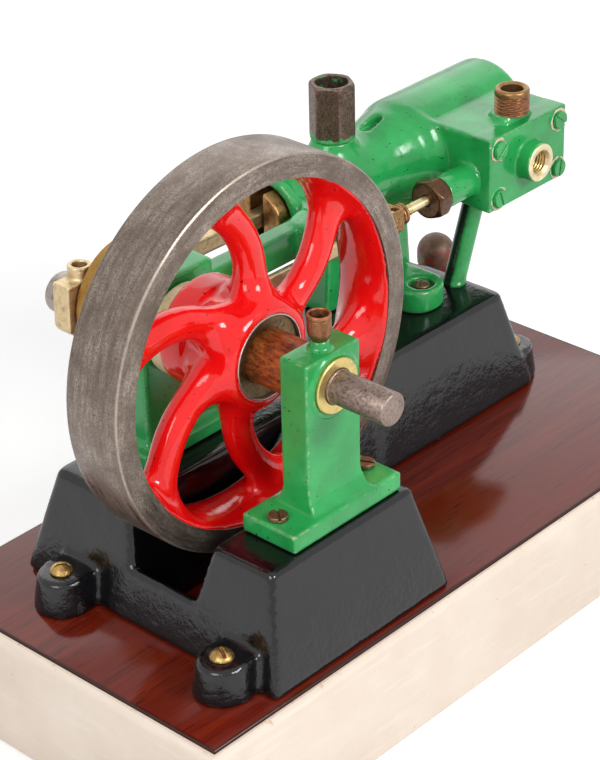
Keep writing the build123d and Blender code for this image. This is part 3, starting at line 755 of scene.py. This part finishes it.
# Frame, cylinder and steam chest, which run into one another as one casting
TRUNK_X = (TRUNK_MOUTH, 107.0, 110.5, 112.7, 115.7, 118.5, 120.6, 122.2, 123.6, 125.2, 128.0, BARREL_END)
TRUNK_R = (12.0, 12.0, 12.5, 13.1, 14.0, 14.8, 15.3, 15.9, 16.4, 16.75, BARREL_R, BARREL_R)
INLET = (CHEST_X, 31.4)
INLET_FOOT = 14.4
CHEST_NEAR = 28.15
TOE_TOP = -33.6


def casting(p):
    """Bearing, girder, trunk, leg and toe, barrel and steam chest, with their bores."""
    x, y, z = p
    bearing = box(p, (-14.5, 34.0, BED_TOP), (14.5, 47.7, 13.5), 1.2)
    body = join(bearing, box(p, (-18, 31.6, BED_TOP), (18, 50.1, -36.2), 1.0), 3.0)
    girder = box(p, (0, 37, -3), (62, 43.5, 7), 0.9)
    slope = math.hypot(20.0, 12.0)
    lean = ((x - 62) * 12.0 - (y - 40.25) * 20.0) / slope
    arm = meet(np.abs(lean) - 4.2, span(z, -3, 7), 0.8)
    arm = meet(arm, span(x, 54, 92), 0.8)
    body = join(body, join(girder, arm, 3.0), 2.0)
    away = np.hypot(y - CYL_Y, z)
    trunk = capped(0.92 * (away - np.interp(x, TRUNK_X, TRUNK_R)), span(x, TRUNK_MOUTH, BARREL_END), 0.4)
    trunk = join(trunk, bar(p, 0, (CYL_Y, 0), 13.0, TRUNK_MOUTH, 67, 0.7), 1.2)
    share = np.clip((z - BED_TOP) / -BED_TOP, 0, 1)
    half = 21.0 - 2.0 * share - 3.0 * share * (1 - share)
    leg = meet(np.abs(x - 105) - half, np.abs(y - CYL_Y) - 5.0, 1.5)
    leg = meet(meet(leg, z), BED_TOP - z)
    body = join(body, join(trunk, leg, 4.0), 3.0)
    nose = np.hypot(np.maximum(np.abs(x - TOE_SCREW[0]) - 1.0, 0), np.maximum(38.8 - y, 0)) - 7.4
    toe = capped(meet(nose, y - CYL_Y), span(z, BED_TOP, TOE_TOP), 0.9)
    body = join(body, toe, 4.0)
    body = join(body, cone(p, 2, (CUP_X, CYL_Y), 7.6, 6.5, 4, HEX_FOOT, 0.5), 4.0)
    chest = box(p, (CHEST_START, CHEST_NEAR, -CHEST_HALF), (CHEST_END, 62, CHEST_HALF), 0.4)
    chest = join(chest, bar(p, 0, VALVE_AT, 5.3, NUT_END, 129, 0.5), 1.6)
    stub = meet(cone(p, 2, INLET, 7.4, 6.3, 10, INLET_FOOT, 0.5), CHEST_NEAR - y)
    chest = join(chest, stub, 1.4)
    body = join(body, chest, np.interp(x, (124.0, 129.0), (6.5, 0.5)))
    body = body + 0.05 * lumps(p, 6.0, 12)
    body = cut(body, np.hypot(y - VALVE_Y, z - VALVE_Z) - 1.75 + 100 * np.maximum(112 - x, 0))
    body = cut(body, bar(p, 0, (CYL_Y, 0), 9.9, 60, 119), 0.4)
    body = cut(body, bar(p, 2, TOE_SCREW, 4.0, -35.8, -30), 0.25)
    body = cut(body, bar(p, 0, (CYL_Y, 0), 2.5, 117, 128))
    slot = np.hypot(np.maximum(np.abs(x - 113.0) - 2.4, 0), y - CYL_Y - 0.9) - 1.9
    body = cut(body, meet(meet(slot, -z), 11.2 - away), 0.3)
    return cut(meet(meet(body, BED_TOP - z), x - BARREL_END), np.hypot(x, z) - 7.0)


carved("engine_casting", casting, (-18, CHEST_NEAR, BED_TOP), (BARREL_END, 77.2, 16.9), 0.62, GREEN, ROOT,
       ("frame_casting", "cylinder", "steam_chest"))
MAIN_BUSH = [(34.0, 5.05), (34.0, 7.0), (47.7, 7.0), (47.7, 8.7), (48.0, 9.0), (48.7, 9.0), (48.9, 8.7),
             (48.9, 5.05)]
piece("main_bush_turned", turned(MAIN_BUSH, 1, closed=True), BRONZE, ROOT, ("main_bush",))
screws("frame_screw_head", [(TOE_SCREW, 0.35)], 2, 2.8, -34.8, 1.6, SCREW, "frame_screw",
       0.9, 0.16)


def hex_cup(p):
    """Hexagon cup with a chamfered top and a well."""
    at = (CUP_X, CYL_Y)
    body = hexbar(p, 2, at, 12.7, HEX_FOOT, HEX_TOP, math.pi / 6, 0.25)
    body = meet(body, (np.hypot(*across(p, 2, at)) - 6.7 - 0.8 * (HEX_TOP - p[2])) * 0.78, 0.4)
    body = join(body, bar(p, 2, at, 6.9, HEX_FOOT, 16.2, 0.3))
    return cut(body, bar(p, 2, at, 5.1, 20.4, 40), 0.3)


carved("hex_cup_body", hex_cup, (86, 52, HEX_FOOT), (102, 68.5, HEX_TOP), 0.3, CUP_STEEL, ROOT,
       ("hex_oil_cup",))


# Covers, inlet, nut, strut and drain pot
COVER_SCREWS = [((CHEST_X - 15, 8.2), 0.7), ((CHEST_X + 15, 8.2), 2.5), ((CHEST_X - 15, -8.2), 1.9),
                ((CHEST_X + 15, -8.2), 1.4)]


def rear_cover(p):
    """Rounded cover with a centre boss and six bolts."""
    body = bar(p, 0, (CYL_Y, 0), BARREL_R, 160, 171.6, 4.4)
    body = join(body, bar(p, 0, (CYL_Y, 0), 5.0, 170, 172.8, 0.8), 2.0)
    for k in range(6):
        a = math.pi / 6 + k * math.pi / 3
        place = (CYL_Y + 10.8 * math.cos(a), 10.8 * math.sin(a))
        body = join(body, hexbar(p, 0, place, 4.2, 170, 173.0, 0.3 * k, 0.25), 0.3)
    return meet(body, 168.7 - p[0])


carved("cylinder_rear_cover", rear_cover, (168.6, 43.4, -16.9), (173.0, 77.2, 16.9), 0.42, GREEN, ROOT,
       ("cylinder_cover",))


def front_cover(p):
    """Plate with a tapped boss and screw seats, lapping the chest by a thin skirt."""
    lap = np.interp(p[1], (29.6, 37.0), (0.14, -0.3))
    body = box(p, (CHEST_START, 24.64, -CHEST_HALF), (CHEST_END, 45.0, CHEST_HALF), 0.4) - lap
    body = join(body, bar(p, 1, (CHEST_X, 0), 6.4, 19.4, 26, 0.5), 0.9)
    for (x, z), _ in COVER_SCREWS:
        body = join(body, bar(p, 1, (x, z), 3.5, 24.2, 26, 0.2), 0.3)
    body = body + 0.02 * lumps(p, 4.0, 33)
    return meet(cut(body, bar(p, 1, (CHEST_X, 0), 4.6, 15, 27.0)), p[1] - 36.6)


carved("front_cover_plate", front_cover, (126.6, 19.4, -12.4), (165.0, 36.6, 12.4), 0.38, GREEN, ROOT,
       ("chest_cover",))
NIPPLE = [(26.9, 4.65), (19.6, 4.65), (19.5, 6.1), (19.3, 5.9), (19.25, 4.3), (19.5, 4.0), (20.3, 3.32)]
piece("cover_boss_face", turned(NIPPLE, 1, 64, (CHEST_X, 0)), PALE, ROOT)
piece("cover_boss_thread", threaded(1, (CHEST_X, 0), 3.3, 0.45, 1.0, 20.2, 26.6, True), BRASS, ROOT)
BOSS_FLOOR = [(26.5, 0), (26.5, 3.8), (26.9, 4.65)]
piece("cover_boss_floor", turned(BOSS_FLOOR, 1, 48, (CHEST_X, 0)), DARK, ROOT)


def chips(p):
    """Broken paint round the cover screws."""
    x, y, z = p
    ragged = 0.42 + 0.5 * lumps(p, 1.5, 61)
    body = 9.0
    for (u, v), _ in COVER_SCREWS:
        body = np.minimum(body, np.hypot(np.hypot(x - u, z - v) - 3.45, (y - 24.3) * 2.0) - ragged)
    return body


carved("cover_screw_chips", chips, (CHEST_START, 23.8, -CHEST_HALF), (CHEST_END, 24.8, CHEST_HALF), 0.2,
       CHIPS, ROOT)
screws("cover_screw_heads", COVER_SCREWS, 1, 2.9, 24.2, -1.4, GREEN, "cover_screws",
       step=0.16)

INLET_R = 5.55
piece("inlet_thread", threaded(2, INLET, INLET_R, 0.55, 1.2, INLET_FOOT, 20.6), BROWN, ROOT,
      ("steam_inlet",))
INLET_LIP = [(INLET_FOOT, INLET_R), (INLET_FOOT, 3.6), (21.8, 3.6), (22.4, 4.3), (22.4, 4.8), (22.1, 5.3),
             (21.6, 5.5), (20.6, INLET_R)]
piece("inlet_bore", turned(INLET_LIP, 2, 72, INLET), LIP_BRASS, ROOT)


def nut(p):
    """Hexagon gland nut, chamfered at both ends."""
    x, y, z = p
    body = hexbar(p, 0, VALVE_AT, 11.8, NUT_START, NUT_END, 0.2, 0.2)
    away = np.hypot(y - VALVE_Y, z - VALVE_Z)
    body = meet(body, 0.78 * (away - 5.6 - 0.8 * (x - NUT_START)), 0.3)
    body = meet(body, 0.78 * (away - 5.6 - 0.8 * (NUT_END - x)), 0.3)
    return cut(body, away - 1.7, 0.3)


carved("gland_nut_body", nut, (NUT_START, 26.6, -10), (NUT_END, 40.4, 4), 0.25, NUT, ROOT,
       ("gland_nut",))


def strut(p):
    """Sloping bar on a small foot."""
    rod = meet(stick(p, STRUT_FOOT, STRUT_HEAD, 3.5), BED_TOP - p[2])
    return join(rod, bar(p, 2, (127.5, STRUT_FOOT[1]), 3.8, BED_TOP, -40.6, 0.3), 1.2)


carved("chest_strut_bar", strut, (122, 34, BED_TOP), (143.6, 44, -11.5), 0.35, STRUT_PAINT_AND_SHADE, ROOT,
       ("chest_strut",))
POT_R, DOME_Z = 6.3, -47.5
POT = [(BED_FOOT, 0), (BED_FOOT, POT_R), (-73.5, POT_R), (-73.0, 5.9), (-52, 5.9), (-51.2, 6.2), (-49, POT_R),
       (DOME_Z, POT_R)]
POT += [(DOME_Z + POT_R * math.sin(a), POT_R * math.cos(a)) for a in np.linspace(0.1, 1.45, 14)]
POT += [(DOME_Z + POT_R, 0)]
piece("drain_pot_dome", turned(POT, 2, 64, (150.4, 65.5)), POT_STAIN_AND_REFLECTION, ROOT, ("drain_pot",))


# Flywheel and crankshaft
RIM_EDGE = [(0.0, 50.2), (0.0, 56.2), (0.12, 56.6), (0.45, 57.0), (0.9, RIM_R)]
RIM = RIM_EDGE + [(RIM_WIDTH - along, radius) for along, radius in reversed(RIM_EDGE)]
piece("flywheel_rim", turned(RIM, 1, 240, closed=True), IRON, CRANK, ("flywheel",), 25)
HUB_END = 26.4
SPOKE_REST = 25.5
SPOKE_R = np.array((8.0, 11.6, 16, 20, 25, 30, 35, 40, 45, 53.7))
SPOKE_A = np.radians((-19.0, -13.0, -8.8, -6.4, -3.4, 0.4, 5.0, 10.2, 15.6, 25.0))


def spider(p):
    """Six swept oval spokes between the hub and the band inside the rim."""
    x, y, z = p
    r = np.hypot(x, z)
    off_middle = y - RIM_WIDTH / 2
    middle = np.interp(r, SPOKE_R, SPOKE_A)
    slant = np.gradient(SPOKE_A, SPOKE_R)
    lean = 1 / np.sqrt(1 + (r * np.interp(r, SPOKE_R, slant)) ** 2)
    sector = math.pi / 3
    turn = (np.arctan2(z, x) - math.radians(SPOKE_REST) - middle + sector / 2) % sector - sector / 2
    width = 4.7 + 0.9 * np.clip((24 - r) / 12, 0, 1) + 0.6 * np.clip((r - 40) / 10, 0, 1)
    depth = 4.3 + 1.2 * np.clip((24 - r) / 12, 0, 1)
    oval = np.sqrt((r * turn * lean / width) ** 2 + (off_middle / depth) ** 2)
    spokes = np.maximum((oval - 1) * 4.3, r - 51)
    edge = np.clip(np.abs(off_middle) / (RIM_WIDTH / 2), 0, 1)
    band = meet(50.15 - 2.2 * (1 - edge ** 2) - r, r - 50.7)
    band = meet(band, np.abs(off_middle) - 9.3, 0.6)
    front = cone(p, 1, (0, 0), 15.2, 16.4, -0.6, 10, 2.4)
    hub = join(front, bar(p, 1, (0, 0), 14.6, 8, 20, 0.6), 1.0)
    body = join(join(spokes, band, 7.5), hub, 6.5)
    body = join(body, bar(p, 1, (0, 0), 16.2, 17.4, HUB_END, 1.3), 0.9)
    body = body + 0.06 * lumps(p, 7.0, 40)
    body = meet(body, y - HUB_END)
    body = cut(body, bar(p, 1, (0, 0), 12.25, -4, 2.0), 0.3)
    return cut(body, r - 5.02)


carved("flywheel_spider", spider, (-50.7, -0.8, -50.7), (50.7, HUB_END, 50.7), 0.72, RED, CRANK,
       (), 2)
HUB_LIP = [(1.4, 11.95), (-0.4, 11.95), (-0.66, 12.1), (-0.66, 12.35), (-0.4, 12.55), (0.4, 12.6)]
piece("flywheel_hub_lip", turned(HUB_LIP, 1), STEEL, CRANK)
RECESS = [(1.1, SHAFT_R), (1.1, 11.3), (0.8, 11.9), (0.2, 12.0)]
piece("flywheel_hub_recess", turned(RECESS, 1), GRIME, CRANK)
DISC_FACE = 49.6
SHAFT_PROFILE = [(-44.5, 0), (-44.5, 4.1), (-44.3, 4.45), (-43.9, 4.75), (-25.9, 4.75), (-25.7, SHAFT_R),
                 (DISC_FACE, SHAFT_R), (DISC_FACE, 0)]
piece("shaft_turned", turned(SHAFT_PROFILE, 1, 80), SPECKLED, CRANK, ("crankshaft",))
COLLAR = [(-13.2, SHAFT_R), (-13.2, 7.6), (-12.8, 8.0), (1.2, 8.0), (1.2, SHAFT_R)]
piece("collar_rusted", turned(COLLAR, 1, 80, closed=True), RUST, CRANK, ("shaft_collar",))
DISC = [(DISC_FACE, 0), (DISC_FACE, 17.9), (50.2, 18.5), (56.0, 18.5), (56.6, 17.9), (56.6, 6.6), (56.4, 6.2),
        (56.4, 0)]
piece("crank_disc_turned", turned(DISC, 1, 120), GOLD, CRANK, ("crank_disc",))


# Connecting rod
def on_rod(p):
    """Coordinates along the tilted rod, from the crank pin."""
    x, y, z = p
    c, s = math.cos(ROD_TILT), math.sin(ROD_TILT)
    dx = x - GUDGEON_X
    return dx * c - z * s + ROD_LENGTH, y - CYL_Y, dx * s + z * c


def big_end(p):
    """Bevelled block with an oil boss on top."""
    q = on_rod(p)
    body = box(q, (-7.6, -3.3, -8.8), (7.6, 3.3, 7.3), 0.4)
    body = meet(body, (-q[0] - q[2] - 14.2) / 1.414, 0.8)
    boss = meet(bar(q, 2, (0, 0), 3.5, 4, 11.3, 0.35), np.abs(q[1]) - 3.3, 0.3)
    body = join(body, boss, 1.4)
    body = body + 0.05 * lumps(p, 2.6, 50)
    body = cut(body, bar(q, 2, (0, 0), 2.2, 7.2, 14), 0.2)
    return cut(body, np.hypot(q[0], q[2]) - 3.2)


carved("big_end_block", big_end, (-20.8, 57, -7.4), (-4.4, 63.6, 13.6), 0.3, PALE, ROD,
       ("big_end",))


def crank_pin(p):
    """Pin with a rounded head."""
    q = on_rod(p)
    return join(bar(q, 1, (0, 0), 3.18, -3.3, 3.5), bar(q, 1, (0, 0), 6.1, 3.3, 9.2, 1.4))


carved("crank_pin_head", crank_pin, (-19.3, 57, -4.8), (-5.8, 69.5, 8.6), 0.28, STEEL, ROD,
       ("crank_pin",))
ROD_ROOT = 7.6
ROD_HALF = 2.2


def con_rod(p):
    """Flat tapering bar with a wide root and an eye."""
    q = on_rod(p)
    from_root = q[0] - ROD_ROOT
    flat = np.abs(q[1]) - ROD_HALF
    half = 3.0 - 0.5 * np.clip(from_root / 74, 0, 1)
    bar_part = meet(meet(np.abs(q[2]) - half, flat, 0.8), span(q[0], ROD_ROOT, 80), 0.3)
    eye = bar(q, 1, (ROD_LENGTH, 0), 4.8, -ROD_HALF, ROD_HALF, 0.4)
    root = meet(meet(np.abs(q[2]) - 4.2 + 0.5 * from_root, flat, 0.5), span(q[0], ROD_ROOT, 12), 0.3)
    body = join(join(bar_part, eye, 2.5), root, 1.5)
    return cut(body, np.hypot(q[0] - ROD_LENGTH, q[2]) - 2.42)


carved("con_rod_bar", con_rod, (-6, 58, -5.2), (75, 62.6, 8), 0.33, ROD_STEEL, ROD,
       ("connecting_rod",))
SLIDER_END = 79.42
PIN_R = 2.4


def slider(p):
    """Round crosshead with oil grooves and a slot for the rod."""
    x, y, z = p
    body = bar(p, 0, (CYL_Y, 0), 9.6, 59.42, SLIDER_END, 0.5)
    body = cut(body, meet(np.abs(y - CYL_Y) - 2.7, x - 75.9), 0.3)
    for mark in (64.5, 75.0):
        ring = np.hypot(x - mark, np.hypot(y - CYL_Y, z) - 9.7) - 0.45
        body = cut(body, ring, 0.2)
    return cut(body, np.hypot(x - GUDGEON_X, z) - PIN_R)


# Painted shade: the crosshead takes the darker knuckle bronze because it sits in the shade of the trunk.
carved("crosshead_bored", slider, (59.4, 50.6, -9.7), (79.5, 70, 9.7), 0.45, KNUCKLE, SLIDE,
       ("crosshead",))
PIN = [(51.0, 0), (51.0, 2.0), (51.3, PIN_R), (69.3, PIN_R), (69.6, 2.0), (69.6, 0)]
piece("gudgeon_turned", turned(PIN, 1, 48, (GUDGEON_X, 0)), STEEL, SLIDE, ("gudgeon_pin",))
PISTON = [(SLIDER_END, 0), (SLIDER_END, 3.6), (81.7, 3.6), (82.1, 3.2), (82.3, 2.4), (132.9, 2.4),
          (133.4, 1.9), (133.4, 0)]
piece("piston_rod_turned", turned(PISTON, 0, 48, (CYL_Y, 0)), STEEL, SLIDE, ("piston_rod",))


# Valve gear
SPINDLE = [(95.4, 0), (95.4, 1.3), (96.0, 1.6), (136.4, 1.6), (136.8, 1.2), (136.8, 0)]
piece("valve_spindle", turned(SPINDLE, 0, 40, VALVE_AT), ROD_STEEL, VALVE, ("valve_rod",))
piece("valve_spindle_thread", threaded(0, VALVE_AT, 1.72, 0.22, 0.8, 95.2, 98.6, False, 40), BRASS, VALVE)
KNUCKLE_X = 89.0


def knuckle(p):
    """Forked block with a ringed neck and a cross pin."""
    body = box(p, (86.4, 30, -6.7), (92.6, 37, 0.7), 0.6)
    for low in (91.6, 93.0, 94.3):
        body = join(body, bar(p, 0, VALVE_AT, 3.5, low, low + 1.1, 0.45), 0.25)
    body = cut(body, box(p, (80, 31.05, -10), (91.4, 33.55, 4)), 0.2)
    pin = bar(p, 1, (KNUCKLE_X, VALVE_Z), 1.5, 29.4, 37.6, 0.4)
    return join(body, pin)


carved("knuckle_fork", knuckle, (86.4, 29.4, -6.8), (95.4, 37.6, 0.8), 0.24, KNUCKLE, VALVE,
       ("valve_knuckle",))
ROD_FROM, ROD_TO = 16.85, 91.4
STRIP_NEAR, STRIP_FAR = 31.1, 33.5


def ecc_rod(p):
    """Flat strip from the strap to the knuckle."""
    x, y, z = p
    slope = (VALVE_Z - ECC_Z) / (ROD_TO - ROD_FROM)
    middle = ECC_Z + slope * (x - ROD_FROM)
    body = meet(meet(np.abs(z - middle) - 2.3, span(y, STRIP_NEAR, STRIP_FAR), 0.5), span(x, 16.9, 91.2), 0.5)
    return join(body, bar(p, 1, (KNUCKLE_X, VALVE_Z), 3.1, STRIP_NEAR, STRIP_FAR, 0.3), 1.0)


carved("eccentric_rod_bar", ecc_rod, (16.9, STRIP_NEAR, -6.3), (92.2, STRIP_FAR, 0.3), 0.36, ROD_STEEL, VALVE,
       ("eccentric_rod",))
STRAP_NEAR, STRAP_FAR = 27.1, 33.3
RIVET_TIP = 26.8


def strap(p):
    """Plain ring with a riveted lug."""
    x, y, z = p
    body = bar(p, 1, (0, ECC_Z), 13.6, STRAP_NEAR, STRAP_FAR, 0.6)
    lug = box(p, (9, STRAP_NEAR, ECC_Z - 4.0), (20.1, STRAP_FAR, ECC_Z + 4.0), 0.6)
    body = join(body, lug, 2.0)
    for side in (-1, 1):
        body = join(body, bar(p, 1, (18.0, ECC_Z + side * 2.4), 1.2, RIVET_TIP, STRAP_FAR, 0.3), 0.2)
    body = body + 0.03 * lumps(p, 2.5, 71)
    return meet(cut(body, np.hypot(x, z - ECC_Z) - 10.42), RIVET_TIP - y)


carved("strap_ring", strap, (-13.7, RIVET_TIP, -16.1), (20.2, STRAP_FAR, 11.3), 0.33, CHALK, VALVE,
       ("eccentric_strap",))


def sheave(p):
    """Disc inside the strap, with a slotted bore."""
    x, y, z = p
    body = bar(p, 1, (0, ECC_Z), 10.36, 27.15, 33.25, 0.4)
    return cut(body, np.hypot(np.maximum(np.abs(x) - 2.4, 0), z) - 5.7, 0.3)


carved("sheave_disc", sheave, (-10.5, STRAP_NEAR, -12.9), (10.5, STRAP_FAR, 8.1), 0.5, STEEL, VALVE,
       ("eccentric_sheave",))


# Camera at the photograph's angle
AZIMUTH, ELEVATION, ROLL = [math.radians(a) for a in (-46.93, 29.74, -1.44)]
EYE = np.array((-418.9, -403.02, 324.49))
FOCAL = 2461.5
FRAME_HEIGHT = 760
SENSOR = 36.0
level = math.cos(ELEVATION)
back = Vector((math.sin(AZIMUTH) * level, -math.cos(AZIMUTH) * level, math.sin(ELEVATION)))
right = Vector((math.cos(AZIMUTH), math.sin(AZIMUTH), 0))
up = back.cross(right)
across_frame = math.cos(ROLL) * right + math.sin(ROLL) * up
up_frame = math.cos(ROLL) * up - math.sin(ROLL) * right
lens = bpy.data.cameras.new("photo_camera")
lens.sensor_width = SENSOR
lens.lens = FOCAL / FRAME_HEIGHT * SENSOR
lens.clip_start = 0.01
camera = placed("photo_camera", lens)
turn = Matrix((across_frame, up_frame, back)).transposed().to_4x4()
camera.matrix_world = Matrix.Translation(Vector((EYE + SHAFT) * MM)) @ turn
bpy.context.scene.camera = camera


# Floor, lamps and white surround
floor_mesh = bpy.data.meshes.new("floor")
HALF = 6.0
corners = [(-HALF, -HALF, 0), (HALF, -HALF, 0), (HALF, HALF, 0), (-HALF, HALF, 0)]
floor_mesh.from_pydata(corners, [], [(0, 1, 2, 3)])
floor = placed("floor", floor_mesh)
ground = Look("pale_floor", Roughness=0.9, Specular_IOR_Level=0.1)
ground_path = ground.node("LightPath")
ground_seen = ground.plus(ground_path.outputs["Is Camera Ray"], ground_path.outputs["Is Glossy Ray"])
ground.set("Base Color", ground.mix(ground_seen, (0.68, 0.675, 0.68, 1), (0.94, 0.935, 0.94, 1)))
ground.set("Emission Color", (1, 1, 1, 1))
far_glow = ground.band(ground.length(*ground.axes()[:2]), 0.5, 1.5, 0.0, 0.4)
far_glow = ground.times(far_glow, ground_path.outputs["Is Camera Ray"])
near_glow = ground.times(ground_seen, 0.26)
ground.set("Emission Strength", ground.plus(near_glow, far_glow))
floor_mesh.materials.append(ground.material)

world = bpy.data.worlds.new("white_surround")
bpy.context.scene.world = world
world.use_nodes = True
tree = world.node_tree
sky = tree.nodes["Background"]
path = tree.nodes.new("ShaderNodeLightPath")
seen, shown = [tree.nodes.new("ShaderNodeMath") for _ in range(2)]
seen.operation = "ADD"
shown.operation = "MAXIMUM"
glow = tree.nodes.new("ShaderNodeMapRange")
glow.inputs["To Min"].default_value = 0.42
glow.inputs["To Max"].default_value = 1.0
tree.links.new(path.outputs["Is Camera Ray"], seen.inputs[0])
tree.links.new(path.outputs["Is Glossy Ray"], seen.inputs[1])
tree.links.new(seen.outputs[0], shown.inputs[0])
tree.links.new(path.outputs["Is Transmission Ray"], shown.inputs[1])
tree.links.new(shown.outputs[0], glow.inputs["Value"])
tree.links.new(glow.outputs[0], sky.inputs["Strength"])
sky.inputs["Color"].default_value = (1, 1, 1, 1)

LAMP_AIM = Vector((0, 0, 0.06))
for name, place, size, power in (
    ("key_softbox", (0.12, -1.06, 0.75), (0.4, 0.4), 8.5),
    ("left_softbox", (-1.0, -0.25, 0.7), (0.6, 0.5), 5.9),
    ("back_softbox", (0.98, 0.92, 0.86), (2.2, 1.1), 7.2),
):
    lamp = bpy.data.lights.new(name, "AREA")
    lamp.shape = "RECTANGLE"
    lamp.size, lamp.size_y = size
    lamp.energy = power
    lamp_ob = placed(name, lamp)
    lamp_ob.location = place
    lamp_ob.rotation_euler = (LAMP_AIM - Vector(place)).to_track_quat("-Z", "Y").to_euler()
bpy.context.scene.view_settings.view_transform = "Standard"
